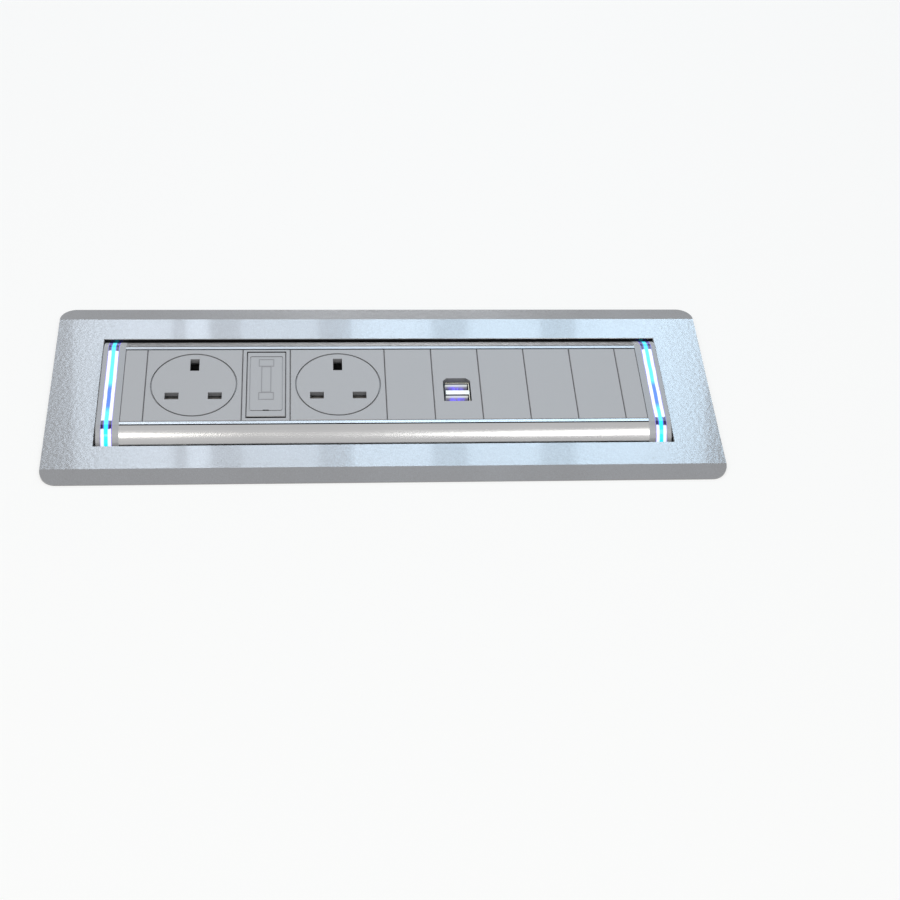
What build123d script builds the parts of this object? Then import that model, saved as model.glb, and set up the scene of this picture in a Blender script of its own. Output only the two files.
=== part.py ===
from build123d import *
import os
from math import acos, cos, degrees, hypot, pi, sin, tan

os.makedirs("parts", exist_ok=True)

# A rotating power unit for a worktop. The row frame's origin is the middle of the opening, level with
# the worktop's surface. X runs along the unit, Y to the rear and Z up. Sizes are in millimetres.

# Rim: the flat plate that lies on the worktop
rim_end_width = 25.0
rim_side_width = 24.2
rim_corner = 8.5
rim_thickness = 2.2
rim_edge = 0.8
bevel_width = 9.0
opening_bevel = 0.3
stud_radius = 2.0
stud_length = 9.0
stud_spacing = 92.0
studs_per_side = 4
seal_groove_inset = 5.5
seal_groove_width = 1.0
seal_groove_depth = 0.6

# Rotor: the body that turns over in the opening
face_proud = 4.65
face_rise = 25.0
opening_gap = 0.8
shoulder_angle = 23.0
end_gap = 0.8
outer_flange = 2.6
light_ring = 5.8
inner_flange = 3.4
ring_band = 5.0
led_strip_width = 2.6
led_strip_thickness = 1.2
flange_bevel = 0.4
rail_wall = 2.0
rail_groove_width = 0.6
rail_groove_depth = 0.5
bay_gap = 0.2
rail_flat = 1.9
rail_depth = 12.3
ledge_width = 2.0
ledge_thickness = 1.5
port_wall = 1.4
port_overlap = 0.3
port_rise = 12.0
rotor_screw_radius = 1.5
rotor_screw_head = 2.8
rotor_screw_head_height = 1.5
rotor_screw_grip = 12.0
screw_clearance = 0.2
cable_opening_depth = 36.0
cable_opening_height = 24.0

# Shafts, bushes and gears
shaft_radius = 7.0
shaft_bore = 4.5
running_clearance = 0.05
bush_wall = 2.0
bush_flange = 1.4
bush_flange_thickness = 1.5
end_play = 2.0
bearing_plate = 4.0
plate_screw_top = -12.0
plate_screw_inset = 24.0
gear_module = 1.25
pressure_angle = 20.0 * pi / 180
gear_backlash = 0.16
root_depth = 1.25
rotor_teeth = 24
idler_teeth = 24
pinion_teeth = 16
gear_width = 4.0
gear_side_gap = 1.2
gear_hub_wall = 3.0
gear_hub_height = 0.9
idler_axle_radius = 3.0
idler_axle_head = 4.5
idler_axle_head_height = 1.0

# Gearmotor
motor_radius = 12.2
gearbox_length = 24.0
can_length = 31.0
can_step = 0.5
motor_boss_radius = 4.0
motor_boss_length = 3.0
motor_end_boss_radius = 4.5
motor_end_boss_length = 2.0
motor_shaft_radius = 2.0
motor_shaft_seat = 10.0
motor_screw_spacing = 17.0
motor_screw_grip = 4.0
motor_wall_gap = 0.05
motor_floor_gap = 1.5

# Housing: a folded trough with a bearing plate and a cover at each end
sheet = 1.5
sweep_clear = 2.14
trough_flange = 9.5
bend_radius = 1.5
gear_room = 8.5
housing_screw_radius = 1.25
housing_screw_length = 6.0
housing_screw_head = 2.75
housing_screw_head_height = 1.8
plate_fit = 0.2
nut_flats = 7.0
nut_height = 3.2
cover_tab_length = 5.0
cover_tab_height = 26.0
cover_tab_top = 8.0
vent_width = 2.5
vent_height = 22.0
vent_pitch = 7.0
vents_per_row = 9
vent_x = 5.0

# Worktop clamps
clamp_screw_drop = 50.0
clamp_screw_radius = 2.0
clamp_nut_radius = 4.0
clamp_nut_height = 2.5
clamp_width = 24.0
clamp_thickness = 2.0
clamp_travel = 10.0
clamp_foot_length = 17.0
clamp_foot_drop = 25.0
clamp_slot_margin = 0.6
clamp_edge = 5.5
clamp_gap = 0.1
clamp_corner = 4.0
knob_radius = 8.5
knob_height = 7.0
knob_lobes = 8
knob_scallop = 2.2
knob_washer_radius = 5.5
knob_washer_height = 1.0

# Modules on a 25 mm grid
module_pitch = 25.0
module_count = 10
end_blank_length = 11.6
module_depth = 51.0
module_joint = 0.3
module_bevel = 0.35
module_plate = 3.0
module_skirt = 8.0
module_wall = 1.5
ledge_gap = 0.3
hook_width = 6.0
hook_height = 1.8
hook_reach = 1.0
hook_gap = 0.1

# Three-pin sockets
socket_ring = 45.0
socket_ring_width = 0.8
socket_ring_depth = 1.0
earth_rise = 14.2
line_drop = 8.0
line_spacing = 22.2
line_slot = 7.2
earth_slot = 8.5
slot_width = 4.8
shutter_depth = 5.2
shutter_thickness = 2.0
shutter_travel = 6.5
shutter_half_length = 16.0
shutter_front = 12.0
shutter_rear = 11.5
shutter_gap = 0.1
shutter_window_margin = 0.2
wedge_width = 4.0
wedge_drop = 5.0
wedge_reach = 6.0
wedge_thickness = 2.0
spring_radius = 0.8
spring_wire = 0.2
spring_turns = 5
back_half_length = 22.5
back_floor = 2.0
back_bottom = 1.0
contact_wall = 1.0
contact_jaw = 4.1
contact_height = 9.0
contact_play = 0.1

# Fuse drawer
fuse_box_depth = 25.0
fuse_face_length = 46.0
fuse_face_width = 20.0
fuse_face_y = 0.4
fuse_face_gap = 0.4
fuse_opening_length = 47.8
fuse_face_thickness = 2.0
fuse_throat_margin = 0.8
drawer_gap = 0.4
drawer_wall = 1.4
drawer_depth = 13.0
fuse_length = 25.4
fuse_radius = 3.15
fuse_cap_length = 5.6
fuse_body_step = 0.25
fuse_drop = 12.5
clip_gap = 0.3
clip_wall = 0.8
clip_width = 5.0
clip_base = 1.0
clip_grip = 1.5
inset_line_width = 0.5
inset_line_depth = 0.3
inset_length = 39.2
inset_width = 17.4
inset_y = 0.7
inset_corner = 1.2
pry_slot_length = 3.0
pry_slot_width = 0.9
pry_slot_depth = 0.8
pry_slot_inset = 4.1

# Twin charging ports
usb_opening_length = 14.5
usb_opening_depth = 16.4
usb_opening_corner = 2.0
usb_opening_y = -4.45
usb_port_recess = 1.5
usb_mouth_length = 12.5
usb_mouth_depth = 5.12
usb_shell_wall = 0.3
usb_shell_height = 14.0
usb_port_pitch = 8.0
usb_ports_shift = -0.7
usb_tongue_recess = 3.3
usb_tongue_length = 11.1
usb_tongue_thickness = 1.84
usb_tongue_offset = 1.0
usb_insulator = 1.5
board_thickness = 1.6
usb_board_length = 19.0
usb_board_depth = 40.0

# Supply, control board and inlet. Each of the board's parts has its offset from the middle, its
# length, its depth and its height
supply_length = 110.0
supply_depth = 52.0
supply_height = 14.0
supply_x = -20.0
supply_corner = 1.5
supply_lug = 7.0
supply_lug_thickness = 2.0
control_length = 56.0
control_depth = 50.0
control_end_gap = 2.4
control_y = -8.0
control_hole_inset = 6.0
control_standoff = 3.0
control_standoff_radius = 3.0
control_parts = (
    (-16.0, -13.0, 15.5, 19.0, 10.0),
    (2.0, -13.0, 15.5, 19.0, 10.0),
    (18.0, 10.0, 12.0, 20.0, 8.0),
    (-4.0, 12.0, 10.0, 10.0, 3.0),
)
inlet_shift = 5.0
inlet_body_length = 27.0
inlet_body_height = 20.0
inlet_flange_margin = 2.2
inlet_flange = 2.0
inlet_corner = 2.0
inlet_cavity_length = 24.0
inlet_cavity_height = 16.5
inlet_cavity_depth = 14.5
inlet_floor = 2.0
inlet_cavity_corner = 4.5
inlet_pin_spacing = 14.0
inlet_earth_rise = 4.0
inlet_pin_width = 2.0
inlet_pin_height = 4.0
inlet_pin_recess = 4.7
inlet_floor_gap = 1.5

# Places that follow from the sizes above
axis_z = rim_thickness + face_proud - face_rise
bay_half = module_depth / 2 + bay_gap
flat_half = bay_half + rail_flat
opening_depth = 2 * (bay_half + rail_depth)
rim_depth = opening_depth + 2 * rim_side_width
sweep_radius = hypot(opening_depth / 2, axis_z) - opening_gap
module_span = module_count * module_pitch
rail_end = module_span / 2 + end_blank_length
ring_start = rail_end + inner_flange
ring_end = ring_start + light_ring
rotor_end = ring_end + outer_flange
opening_length = 2 * (rotor_end + end_gap)
rim_length = opening_length + 2 * rim_end_width
web_outer = bay_half + rail_wall
port_radius = rotor_screw_radius + port_wall
port_y = web_outer + port_radius - port_overlap

trough_half = sweep_radius + sweep_clear
trough_outer = trough_half + sheet
flange_y = trough_outer + trough_flange
stud_y = trough_outer + trough_flange / 2
plate_x = rotor_end + end_play
plate_outer = plate_x + bearing_plate
control_x = control_end_gap + control_length / 2 - plate_x
inlet_x = control_x + inlet_shift
trough_end = plate_outer + gear_room
cover_outer = trough_end + sheet

rotor_pitch_radius = gear_module * rotor_teeth / 2
idler_pitch_radius = gear_module * idler_teeth / 2
pinion_pitch_radius = gear_module * pinion_teeth / 2
idler_distance = rotor_pitch_radius + idler_pitch_radius
pinion_distance = idler_distance + idler_pitch_radius + pinion_pitch_radius
train_angle = -acos((trough_half - motor_radius - motor_wall_gap) / pinion_distance)
idler_y = idler_distance * cos(train_angle)
idler_z = idler_distance * sin(train_angle)
motor_y = pinion_distance * cos(train_angle)
motor_z = pinion_distance * sin(train_angle)
gear_x = plate_outer + gear_side_gap
floor_z = axis_z + motor_z - motor_radius - motor_floor_gap
base_z = floor_z - sheet

skirt_half = bay_half - ledge_width - ledge_gap
shutter_top = face_rise - shutter_depth
shutter_bottom = shutter_top - shutter_thickness
skirt_bottom = face_rise - module_plate - module_skirt
SIDES = ((-1, "left"), (1, "right"))


def save(piece, label):
    """Name a finished piece and write it as its own file."""
    piece.part.label = label
    export_step(piece.part, f"parts/{label}.step")


def level(height):
    """A horizontal plane at a height above the rotor's axis."""
    return Plane.XY.offset(axis_z + height)


def across(x, side=1):
    """A plane square to the rotor's axis, facing out of the left (-1) or right (1) end."""
    return Plane(origin=(side * x, 0, axis_z), x_dir=(0, side, 0), z_dir=(side, 0, 0))


def wall(x, side=1):
    """A plane like across(), but measured in height from the worktop's surface."""
    return Plane(origin=(side * x, 0, 0), x_dir=(0, side, 0), z_dir=(side, 0, 0))


def rotor_section(inset=0.0):
    """The rotor's cross-section about its axis: two flats and two round sides, with soft shoulders."""
    with BuildSketch() as section:
        with BuildLine():
            flank = CenterArc((0, 0), sweep_radius, 0, shoulder_angle)
            shoulder = TangentArc(flank @ 1, (flat_half, face_rise), tangent=flank % 1)
            Line(shoulder @ 1, (0, face_rise))
            mirror(about=Plane.YZ)
            mirror(about=Plane.XZ)
        make_face()
        if inset:
            offset(amount=-inset)
    return section.sketch


def rotor_screw_places():
    """Where the four end screws run, about the rotor's axis."""
    return GridLocations(2 * port_y, 2 * port_rise, 2, 2)


def involute(angle):
    """The involute function of a pressure angle."""
    return tan(angle) - angle


def gear_outline(teeth, first_tooth, bore_radius):
    """A spur gear's face with involute flanks, its first tooth pointing along an angle in degrees."""
    pitch_radius = gear_module * teeth / 2
    base_radius = pitch_radius * cos(pressure_angle)
    tip_radius = pitch_radius + gear_module
    root_radius = pitch_radius - root_depth * gear_module
    half_at_pitch = pi / (2 * teeth) - gear_backlash / (2 * pitch_radius)

    def flank(radius):
        """A point on the tooth's upper flank."""
        roll = acos(min(1.0, base_radius / radius))
        half = half_at_pitch + involute(pressure_angle) - involute(roll)
        return radius * cos(half), radius * sin(half)

    foot = flank(base_radius)
    inner = (foot[0] * root_radius / base_radius - gear_backlash, foot[1] * root_radius / base_radius)
    tip = flank(tip_radius)
    with BuildSketch() as tooth:
        with BuildLine():
            Polyline((inner[0], 0), inner, foot)
            ThreePointArc(foot, flank((base_radius + tip_radius) / 2), tip)
            Line(tip, (tip[0], 0))
            mirror(about=Plane.XZ)
        make_face()
    with BuildSketch() as gear:
        Circle(root_radius)
        with PolarLocations(0, teeth, start_angle=first_tooth):
            add(tooth.sketch)
        Circle(bore_radius, mode=Mode.SUBTRACT)
    return gear.sketch


def module_shell(x, length, skirt=module_skirt):
    """A plain module: a bevelled plate with a clip-in skirt, placed by the middle of its length."""
    plate_length = length - module_joint
    skirt_length = plate_length - 2 * ledge_gap
    with BuildPart() as shell:
        with BuildSketch(level(face_rise - module_plate)):
            with Locations((x, 0)):
                Rectangle(plate_length, module_depth)
        extrude(amount=module_plate)
        chamfer(shell.faces().sort_by(Axis.Z)[-1].edges(), module_bevel)
        with BuildSketch(level(face_rise - module_plate)):
            with Locations((x, 0)):
                Rectangle(skirt_length, 2 * skirt_half)
                inner_length = skirt_length - 2 * module_wall
                Rectangle(inner_length, 2 * (skirt_half - module_wall), mode=Mode.SUBTRACT)
        extrude(amount=-skirt)
        hook_top = axis_z + face_rise - module_plate - ledge_thickness - hook_gap
        for direction in (-1, 1):
            with BuildSketch(Plane.YZ.offset(x - hook_width / 2)):
                with BuildLine():
                    Polyline(
                        (direction * skirt_half, hook_top),
                        (direction * (skirt_half + hook_reach), hook_top),
                        (direction * skirt_half, hook_top - hook_height),
                        close=True,
                    )
                make_face()
            extrude(amount=hook_width)
    return shell.part


# Rim plate, with bevels along its long edges, and weld studs and a groove for a seal under it
with BuildPart() as bezel_frame:
    with BuildSketch(Plane.YZ.offset(-rim_length / 2)):
        with BuildLine():
            Polyline(
                (0, 0),
                (rim_depth / 2, 0),
                (rim_depth / 2, rim_edge),
                (rim_depth / 2 - bevel_width, rim_thickness),
                (0, rim_thickness),
            )
            mirror(about=Plane.YZ)
        make_face()
    extrude(amount=rim_length)
    with BuildSketch(Plane.XY):
        RectangleRounded(rim_length, rim_depth, rim_corner)
    extrude(amount=rim_thickness, mode=Mode.INTERSECT)
    with BuildSketch(Plane.XY):
        Rectangle(opening_length, opening_depth)
    extrude(amount=rim_thickness, mode=Mode.SUBTRACT)
    with BuildSketch(Plane.XY.offset(rim_thickness)):
        Rectangle(opening_length + 2 * opening_bevel, opening_depth + 2 * opening_bevel)
    extrude(amount=-opening_bevel, taper=45, mode=Mode.SUBTRACT)
    with BuildSketch(Plane.XY):
        with GridLocations(stud_spacing, 2 * stud_y, studs_per_side, 2):
            Circle(stud_radius)
    extrude(amount=-stud_length)
    with BuildSketch(Plane.XY):
        for inset, kind in (
            (seal_groove_inset, Mode.ADD),
            (seal_groove_inset + seal_groove_width, Mode.SUBTRACT),
        ):
            groove_corner = rim_corner - inset
            RectangleRounded(rim_length - 2 * inset, rim_depth - 2 * inset, groove_corner, mode=kind)
    extrude(amount=seal_groove_depth, mode=Mode.SUBTRACT)
save(bezel_frame, "bezel_frame")

with BuildPart() as frame_nuts:
    with BuildSketch(Plane.XY.offset(-sheet)):
        with GridLocations(stud_spacing, 2 * stud_y, studs_per_side, 2):
            RegularPolygon(nut_flats / 2, 6, major_radius=False)
            Circle(stud_radius, mode=Mode.SUBTRACT)
    extrude(amount=-nut_height)
save(frame_nuts, "frame_nuts")

# Folded trough, hung from the rim by its flanges
inlet_z = floor_z + inlet_floor_gap + inlet_body_height / 2
inlet_plane = Plane(origin=(inlet_x, trough_outer, inlet_z), x_dir=(-1, 0, 0), z_dir=(0, 1, 0))
plate_middle = plate_x + bearing_plate / 2
plate_screw_heights = (plate_screw_top, floor_z + plate_screw_inset)
cover_screw_x = trough_end - cover_tab_length / 2
cover_screw_z = -cover_tab_top - cover_tab_height / 2
side_screw_places = [(side * plate_middle, height) for side, _ in SIDES for height in plate_screw_heights]
side_screw_places += [(side * cover_screw_x, cover_screw_z) for side, _ in SIDES]
with BuildPart() as housing_trough:
    with BuildSketch(Plane.YZ.offset(-trough_end)) as trough_section:
        with Locations((0, base_z / 2)):
            Rectangle(2 * trough_outer, -base_z)
        fillet(trough_section.vertices().group_by(Axis.Y)[0], bend_radius + sheet)
        with Locations((0, -sheet / 2)):
            Rectangle(2 * flange_y, sheet)
        with Locations((0, floor_z / 2)):
            Rectangle(2 * trough_half, -floor_z, mode=Mode.SUBTRACT)
        fillet(trough_section.vertices(Select.LAST).group_by(Axis.Y)[0], bend_radius)
    extrude(amount=2 * trough_end)
    with BuildSketch(Plane.XY):
        with GridLocations(stud_spacing, 2 * stud_y, studs_per_side, 2):
            Circle(stud_radius + screw_clearance)
    extrude(amount=-sheet, mode=Mode.SUBTRACT)
    with BuildSketch(Plane.XZ.offset(-trough_outer)):
        with Locations((vent_x, (floor_z - vent_height) / 2)):
            with GridLocations(vent_pitch, 1, vents_per_row, 1):
                Rectangle(vent_width, vent_height)
        with Locations(*side_screw_places):
            Circle(housing_screw_radius + screw_clearance)
    extrude(amount=2 * trough_outer, mode=Mode.SUBTRACT)
    with BuildSketch(inlet_plane):
        Rectangle(inlet_body_length, inlet_body_height)
    extrude(amount=-sheet, mode=Mode.SUBTRACT)
save(housing_trough, "housing_trough")

# Bearing plates, each with a flanged bush; the right one also carries the gearmotor and the idler
for side, name in SIDES:
    with BuildPart() as plate:
        with BuildSketch(wall(plate_x, side)) as plate_face:
            with Locations((0, (floor_z - sheet) / 2)):
                Rectangle(2 * (trough_half - plate_fit), -floor_z - sheet)
            fillet(plate_face.vertices().group_by(Axis.Y)[0], bend_radius + plate_fit)
        extrude(amount=bearing_plate)
        with BuildSketch(across(plate_x, side)):
            Circle(shaft_radius + bush_wall)
            if side > 0:
                with Locations((idler_y, idler_z)):
                    Circle(idler_axle_radius)
                with Locations((motor_y, motor_z)):
                    Circle(motor_boss_radius)
                    with GridLocations(1, motor_screw_spacing, 1, 2):
                        Circle(rotor_screw_radius)
        extrude(amount=bearing_plate, mode=Mode.SUBTRACT)
        for direction in (-1, 1):
            with BuildSketch(Plane.XZ.offset(-direction * trough_outer)):
                with Locations(*[(side * plate_middle, height) for height in plate_screw_heights]):
                    Circle(housing_screw_radius)
            extrude(amount=direction * (housing_screw_length + sheet), mode=Mode.SUBTRACT)
        if side > 0:
            with BuildSketch(across(plate_outer - rotor_screw_head_height, side)):
                with Locations((motor_y, motor_z)):
                    with GridLocations(1, motor_screw_spacing, 1, 2):
                        Circle(rotor_screw_head)
            extrude(amount=rotor_screw_head_height, mode=Mode.SUBTRACT)
    save(plate, f"bearing_plate_{name}")

    with BuildPart() as bush:
        with BuildSketch(across(plate_x - bush_flange_thickness, side)):
            Circle(shaft_radius + bush_wall + bush_flange)
        extrude(amount=bush_flange_thickness)
        with BuildSketch(across(plate_x, side)):
            Circle(shaft_radius + bush_wall)
        extrude(amount=bearing_plate)
        with BuildSketch(across(plate_outer, side)):
            Circle(shaft_radius + running_clearance)
        extrude(amount=-bearing_plate - bush_flange_thickness, mode=Mode.SUBTRACT)
    save(bush, f"shaft_bush_{name}")

# End covers, with side tabs and a clinched nut for the clamp's thumb screw
for side, name in SIDES:
    with BuildPart() as cover:
        with BuildSketch(wall(trough_end, side)) as cover_face:
            with Locations((0, base_z / 2)):
                Rectangle(2 * trough_outer, -base_z)
            fillet(cover_face.vertices().group_by(Axis.Y)[0], bend_radius + sheet)
        extrude(amount=sheet)
        with BuildSketch(wall(trough_end, side)):
            with Locations((0, cover_screw_z)):
                with GridLocations(2 * (trough_half - plate_fit) - sheet, 1, 2, 1):
                    Rectangle(sheet, cover_tab_height)
        extrude(amount=-cover_tab_length)
        with BuildSketch(wall(trough_end, side)):
            with Locations((0, -clamp_screw_drop)):
                Circle(clamp_nut_radius)
        extrude(amount=-clamp_nut_height)
        with BuildSketch(wall(cover_outer, side)):
            with Locations((0, -clamp_screw_drop)):
                Circle(clamp_screw_radius + running_clearance)
        extrude(amount=-sheet - clamp_nut_height, mode=Mode.SUBTRACT)
        with BuildSketch(Plane.XZ.offset(-trough_outer)):
            with Locations((side * cover_screw_x, cover_screw_z)):
                Circle(housing_screw_radius)
        extrude(amount=2 * trough_outer, mode=Mode.SUBTRACT)
    save(cover, f"end_cover_{name}")

# Screws through the trough's sides, and the two that hold the gearmotor
with BuildPart() as housing_screws:
    for direction in (-1, 1):
        with BuildSketch(Plane.XZ.offset(-direction * trough_outer)):
            with Locations(*side_screw_places):
                Circle(housing_screw_head)
        extrude(amount=-direction * housing_screw_head_height)
        with BuildSketch(Plane.XZ.offset(-direction * trough_outer)):
            with Locations(*side_screw_places):
                Circle(housing_screw_radius)
        extrude(amount=direction * housing_screw_length)
    with BuildSketch(across(plate_outer)):
        with Locations((motor_y, motor_z)):
            with GridLocations(1, motor_screw_spacing, 1, 2):
                Circle(rotor_screw_head)
    extrude(amount=-rotor_screw_head_height)
    with BuildSketch(across(plate_outer)):
        with Locations((motor_y, motor_z)):
            with GridLocations(1, motor_screw_spacing, 1, 2):
                Circle(rotor_screw_radius)
    extrude(amount=-bearing_plate - motor_screw_grip)
save(housing_screws, "housing_screws")

# Worktop clamps: a slotted angle that slides on the end cover, held by a thumb screw
clamp_inner = cover_outer + clamp_gap
clamp_outer = clamp_inner + clamp_thickness
slot_radius = clamp_screw_radius + clamp_slot_margin
clamp_bottom = -clamp_screw_drop - clamp_travel - slot_radius - clamp_edge
for side, name in SIDES:
    with BuildPart() as clamp:
        with BuildSketch(wall(clamp_inner, side)) as leg:
            with Locations((0, (clamp_bottom - clamp_foot_drop) / 2)):
                Rectangle(clamp_width, -clamp_foot_drop - clamp_bottom)
            fillet(leg.vertices().group_by(Axis.Y)[0], clamp_corner)
            with Locations((0, -clamp_screw_drop)):
                SlotCenterToCenter(2 * clamp_travel, 2 * slot_radius, rotation=90, mode=Mode.SUBTRACT)
        extrude(amount=clamp_thickness)
        with BuildSketch(Plane.XY.offset(-clamp_foot_drop)) as foot:
            with Locations((side * (clamp_inner + clamp_foot_length / 2), 0)):
                Rectangle(clamp_foot_length, clamp_width)
            outer_corners = foot.vertices().group_by(Axis.X)[-1 if side > 0 else 0]
            fillet(outer_corners, clamp_corner)
        extrude(amount=-clamp_thickness)
    save(clamp, f"clamp_bracket_{name}")

    with BuildPart() as knob:
        with BuildSketch(wall(trough_end - clamp_nut_height, side)):
            with Locations((0, -clamp_screw_drop)):
                Circle(clamp_screw_radius)
        extrude(amount=clamp_outer + knob_washer_height + knob_height - trough_end + clamp_nut_height)
        with BuildSketch(wall(clamp_outer + clamp_gap, side)):
            with Locations((0, -clamp_screw_drop)):
                Circle(knob_washer_radius)
        extrude(amount=knob_washer_height)
        with BuildSketch(wall(clamp_outer + clamp_gap + knob_washer_height, side)):
            with Locations((0, -clamp_screw_drop)):
                Circle(knob_radius)
                with PolarLocations(knob_radius + knob_scallop / 2, knob_lobes):
                    Circle(knob_scallop, mode=Mode.SUBTRACT)
        extrude(amount=knob_height)
        chamfer(knob.faces().sort_by(Axis.X)[-1 if side > 0 else 0].edges(), flange_bevel)
    save(knob, f"clamp_knob_{name}")

# Gearmotor in the rear corner of the trough, its shaft and pinion, and the idler between the gears
with BuildPart() as gearmotor:
    with BuildSketch(across(plate_x)):
        with Locations((motor_y, motor_z)):
            Circle(motor_radius)
    extrude(amount=-gearbox_length)
    with BuildSketch(across(plate_x - gearbox_length)):
        with Locations((motor_y, motor_z)):
            Circle(motor_radius - can_step)
    extrude(amount=-can_length)
    with BuildSketch(across(plate_x - gearbox_length - can_length)):
        with Locations((motor_y, motor_z)):
            Circle(motor_end_boss_radius)
    extrude(amount=-motor_end_boss_length)
    with BuildSketch(across(plate_x)):
        with Locations((motor_y, motor_z)):
            Circle(motor_boss_radius)
    extrude(amount=motor_boss_length)
    with BuildSketch(across(plate_x + motor_boss_length)):
        with Locations((motor_y, motor_z)):
            Circle(motor_shaft_radius + running_clearance)
    extrude(amount=-motor_boss_length - motor_shaft_seat, mode=Mode.SUBTRACT)
    with BuildSketch(across(plate_x)):
        with Locations((motor_y, motor_z)):
            with GridLocations(1, motor_screw_spacing, 1, 2):
                Circle(rotor_screw_radius)
    extrude(amount=-motor_screw_grip, mode=Mode.SUBTRACT)
save(gearmotor, "gearmotor")

with BuildPart() as gearmotor_shaft:
    with BuildSketch(across(plate_x - motor_shaft_seat)):
        with Locations((motor_y, motor_z)):
            Circle(motor_shaft_radius)
    extrude(amount=gear_x + gear_width + motor_shaft_seat - plate_x)
save(gearmotor_shaft, "gearmotor_shaft")

# The rotor gear has a tooth on the line of centres, the idler a gap, and the pinion a tooth again
line_of_centres = degrees(train_angle)
with BuildPart() as rotor_gear:
    with BuildSketch(across(gear_x)):
        add(gear_outline(rotor_teeth, line_of_centres, shaft_radius))
    extrude(amount=gear_width)
    with BuildSketch(across(gear_x)):
        Circle(shaft_radius + gear_hub_wall)
        Circle(shaft_radius, mode=Mode.SUBTRACT)
    extrude(amount=-gear_hub_height)
save(rotor_gear, "rotor_gear")

with BuildPart() as idler_gear:
    with BuildSketch(across(gear_x)):
        with Locations((idler_y, idler_z)):
            bore = idler_axle_radius + running_clearance
            add(gear_outline(idler_teeth, line_of_centres + 180 / idler_teeth, bore))
    extrude(amount=gear_width)
save(idler_gear, "idler_gear")

with BuildPart() as motor_pinion:
    with BuildSketch(across(gear_x)):
        with Locations((motor_y, motor_z)):
            add(gear_outline(pinion_teeth, line_of_centres + 180, motor_shaft_radius))
    extrude(amount=gear_width)
save(motor_pinion, "motor_pinion")

with BuildPart() as idler_axle:
    with BuildSketch(across(plate_x)):
        with Locations((idler_y, idler_z)):
            Circle(idler_axle_radius)
    extrude(amount=gear_x + gear_width + clip_gap - plate_x)
    with BuildSketch(across(gear_x + gear_width + clip_gap)):
        with Locations((idler_y, idler_z)):
            Circle(idler_axle_head)
    extrude(amount=idler_axle_head_height)
save(idler_axle, "idler_axle")

# Rotor rails: hollow extrusions with a web, ledges for the modules, a fine groove along each shoulder
# and screw ports at the ends
for direction, name in ((-1, "front"), (1, "rear")):
    with BuildPart() as rail:
        with BuildSketch(across(-rail_end)):
            add(rotor_section())
            with Locations((direction * (bay_half + sweep_radius) / 2, 0)):
                Rectangle(sweep_radius - bay_half, 2 * face_rise, mode=Mode.INTERSECT)
            with BuildSketch(mode=Mode.PRIVATE) as hollow:
                add(rotor_section(rail_wall))
                with Locations((direction * (web_outer + sweep_radius) / 2, 0)):
                    Rectangle(sweep_radius - web_outer, 2 * face_rise, mode=Mode.INTERSECT)
            add(hollow.sketch, mode=Mode.SUBTRACT)
            ledge_y = direction * (bay_half - ledge_width / 2)
            ledge_z = face_rise - module_plate - ledge_thickness / 2
            with Locations((ledge_y, ledge_z), (ledge_y, -ledge_z)):
                Rectangle(ledge_width, ledge_thickness)
            groove_y = direction * (flat_half + rail_groove_width / 2)
            with Locations((groove_y, face_rise), (groove_y, -face_rise)):
                Rectangle(rail_groove_width, 2 * rail_groove_depth, mode=Mode.SUBTRACT)
            with Locations((direction * port_y, port_rise), (direction * port_y, -port_rise)):
                Circle(port_radius)
                Circle(rotor_screw_radius, mode=Mode.SUBTRACT)
        extrude(amount=2 * rail_end)
    save(rail, f"rotor_rail_{name}")

# Closing panel on the far side of the rotor, stiffened by two ribs
with BuildPart() as closing_panel:
    with BuildSketch(level(-face_rise)):
        Rectangle(2 * rail_end - module_joint, module_depth)
    extrude(amount=module_plate)
    chamfer(closing_panel.faces().sort_by(Axis.Z)[0].edges(), module_bevel)
    with BuildSketch(level(module_plate - face_rise)):
        with GridLocations(1, 2 * skirt_half - module_wall, 1, 2):
            Rectangle(2 * rail_end - module_joint, module_wall)
    extrude(amount=module_skirt / 2)
save(closing_panel, "closing_panel")

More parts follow.
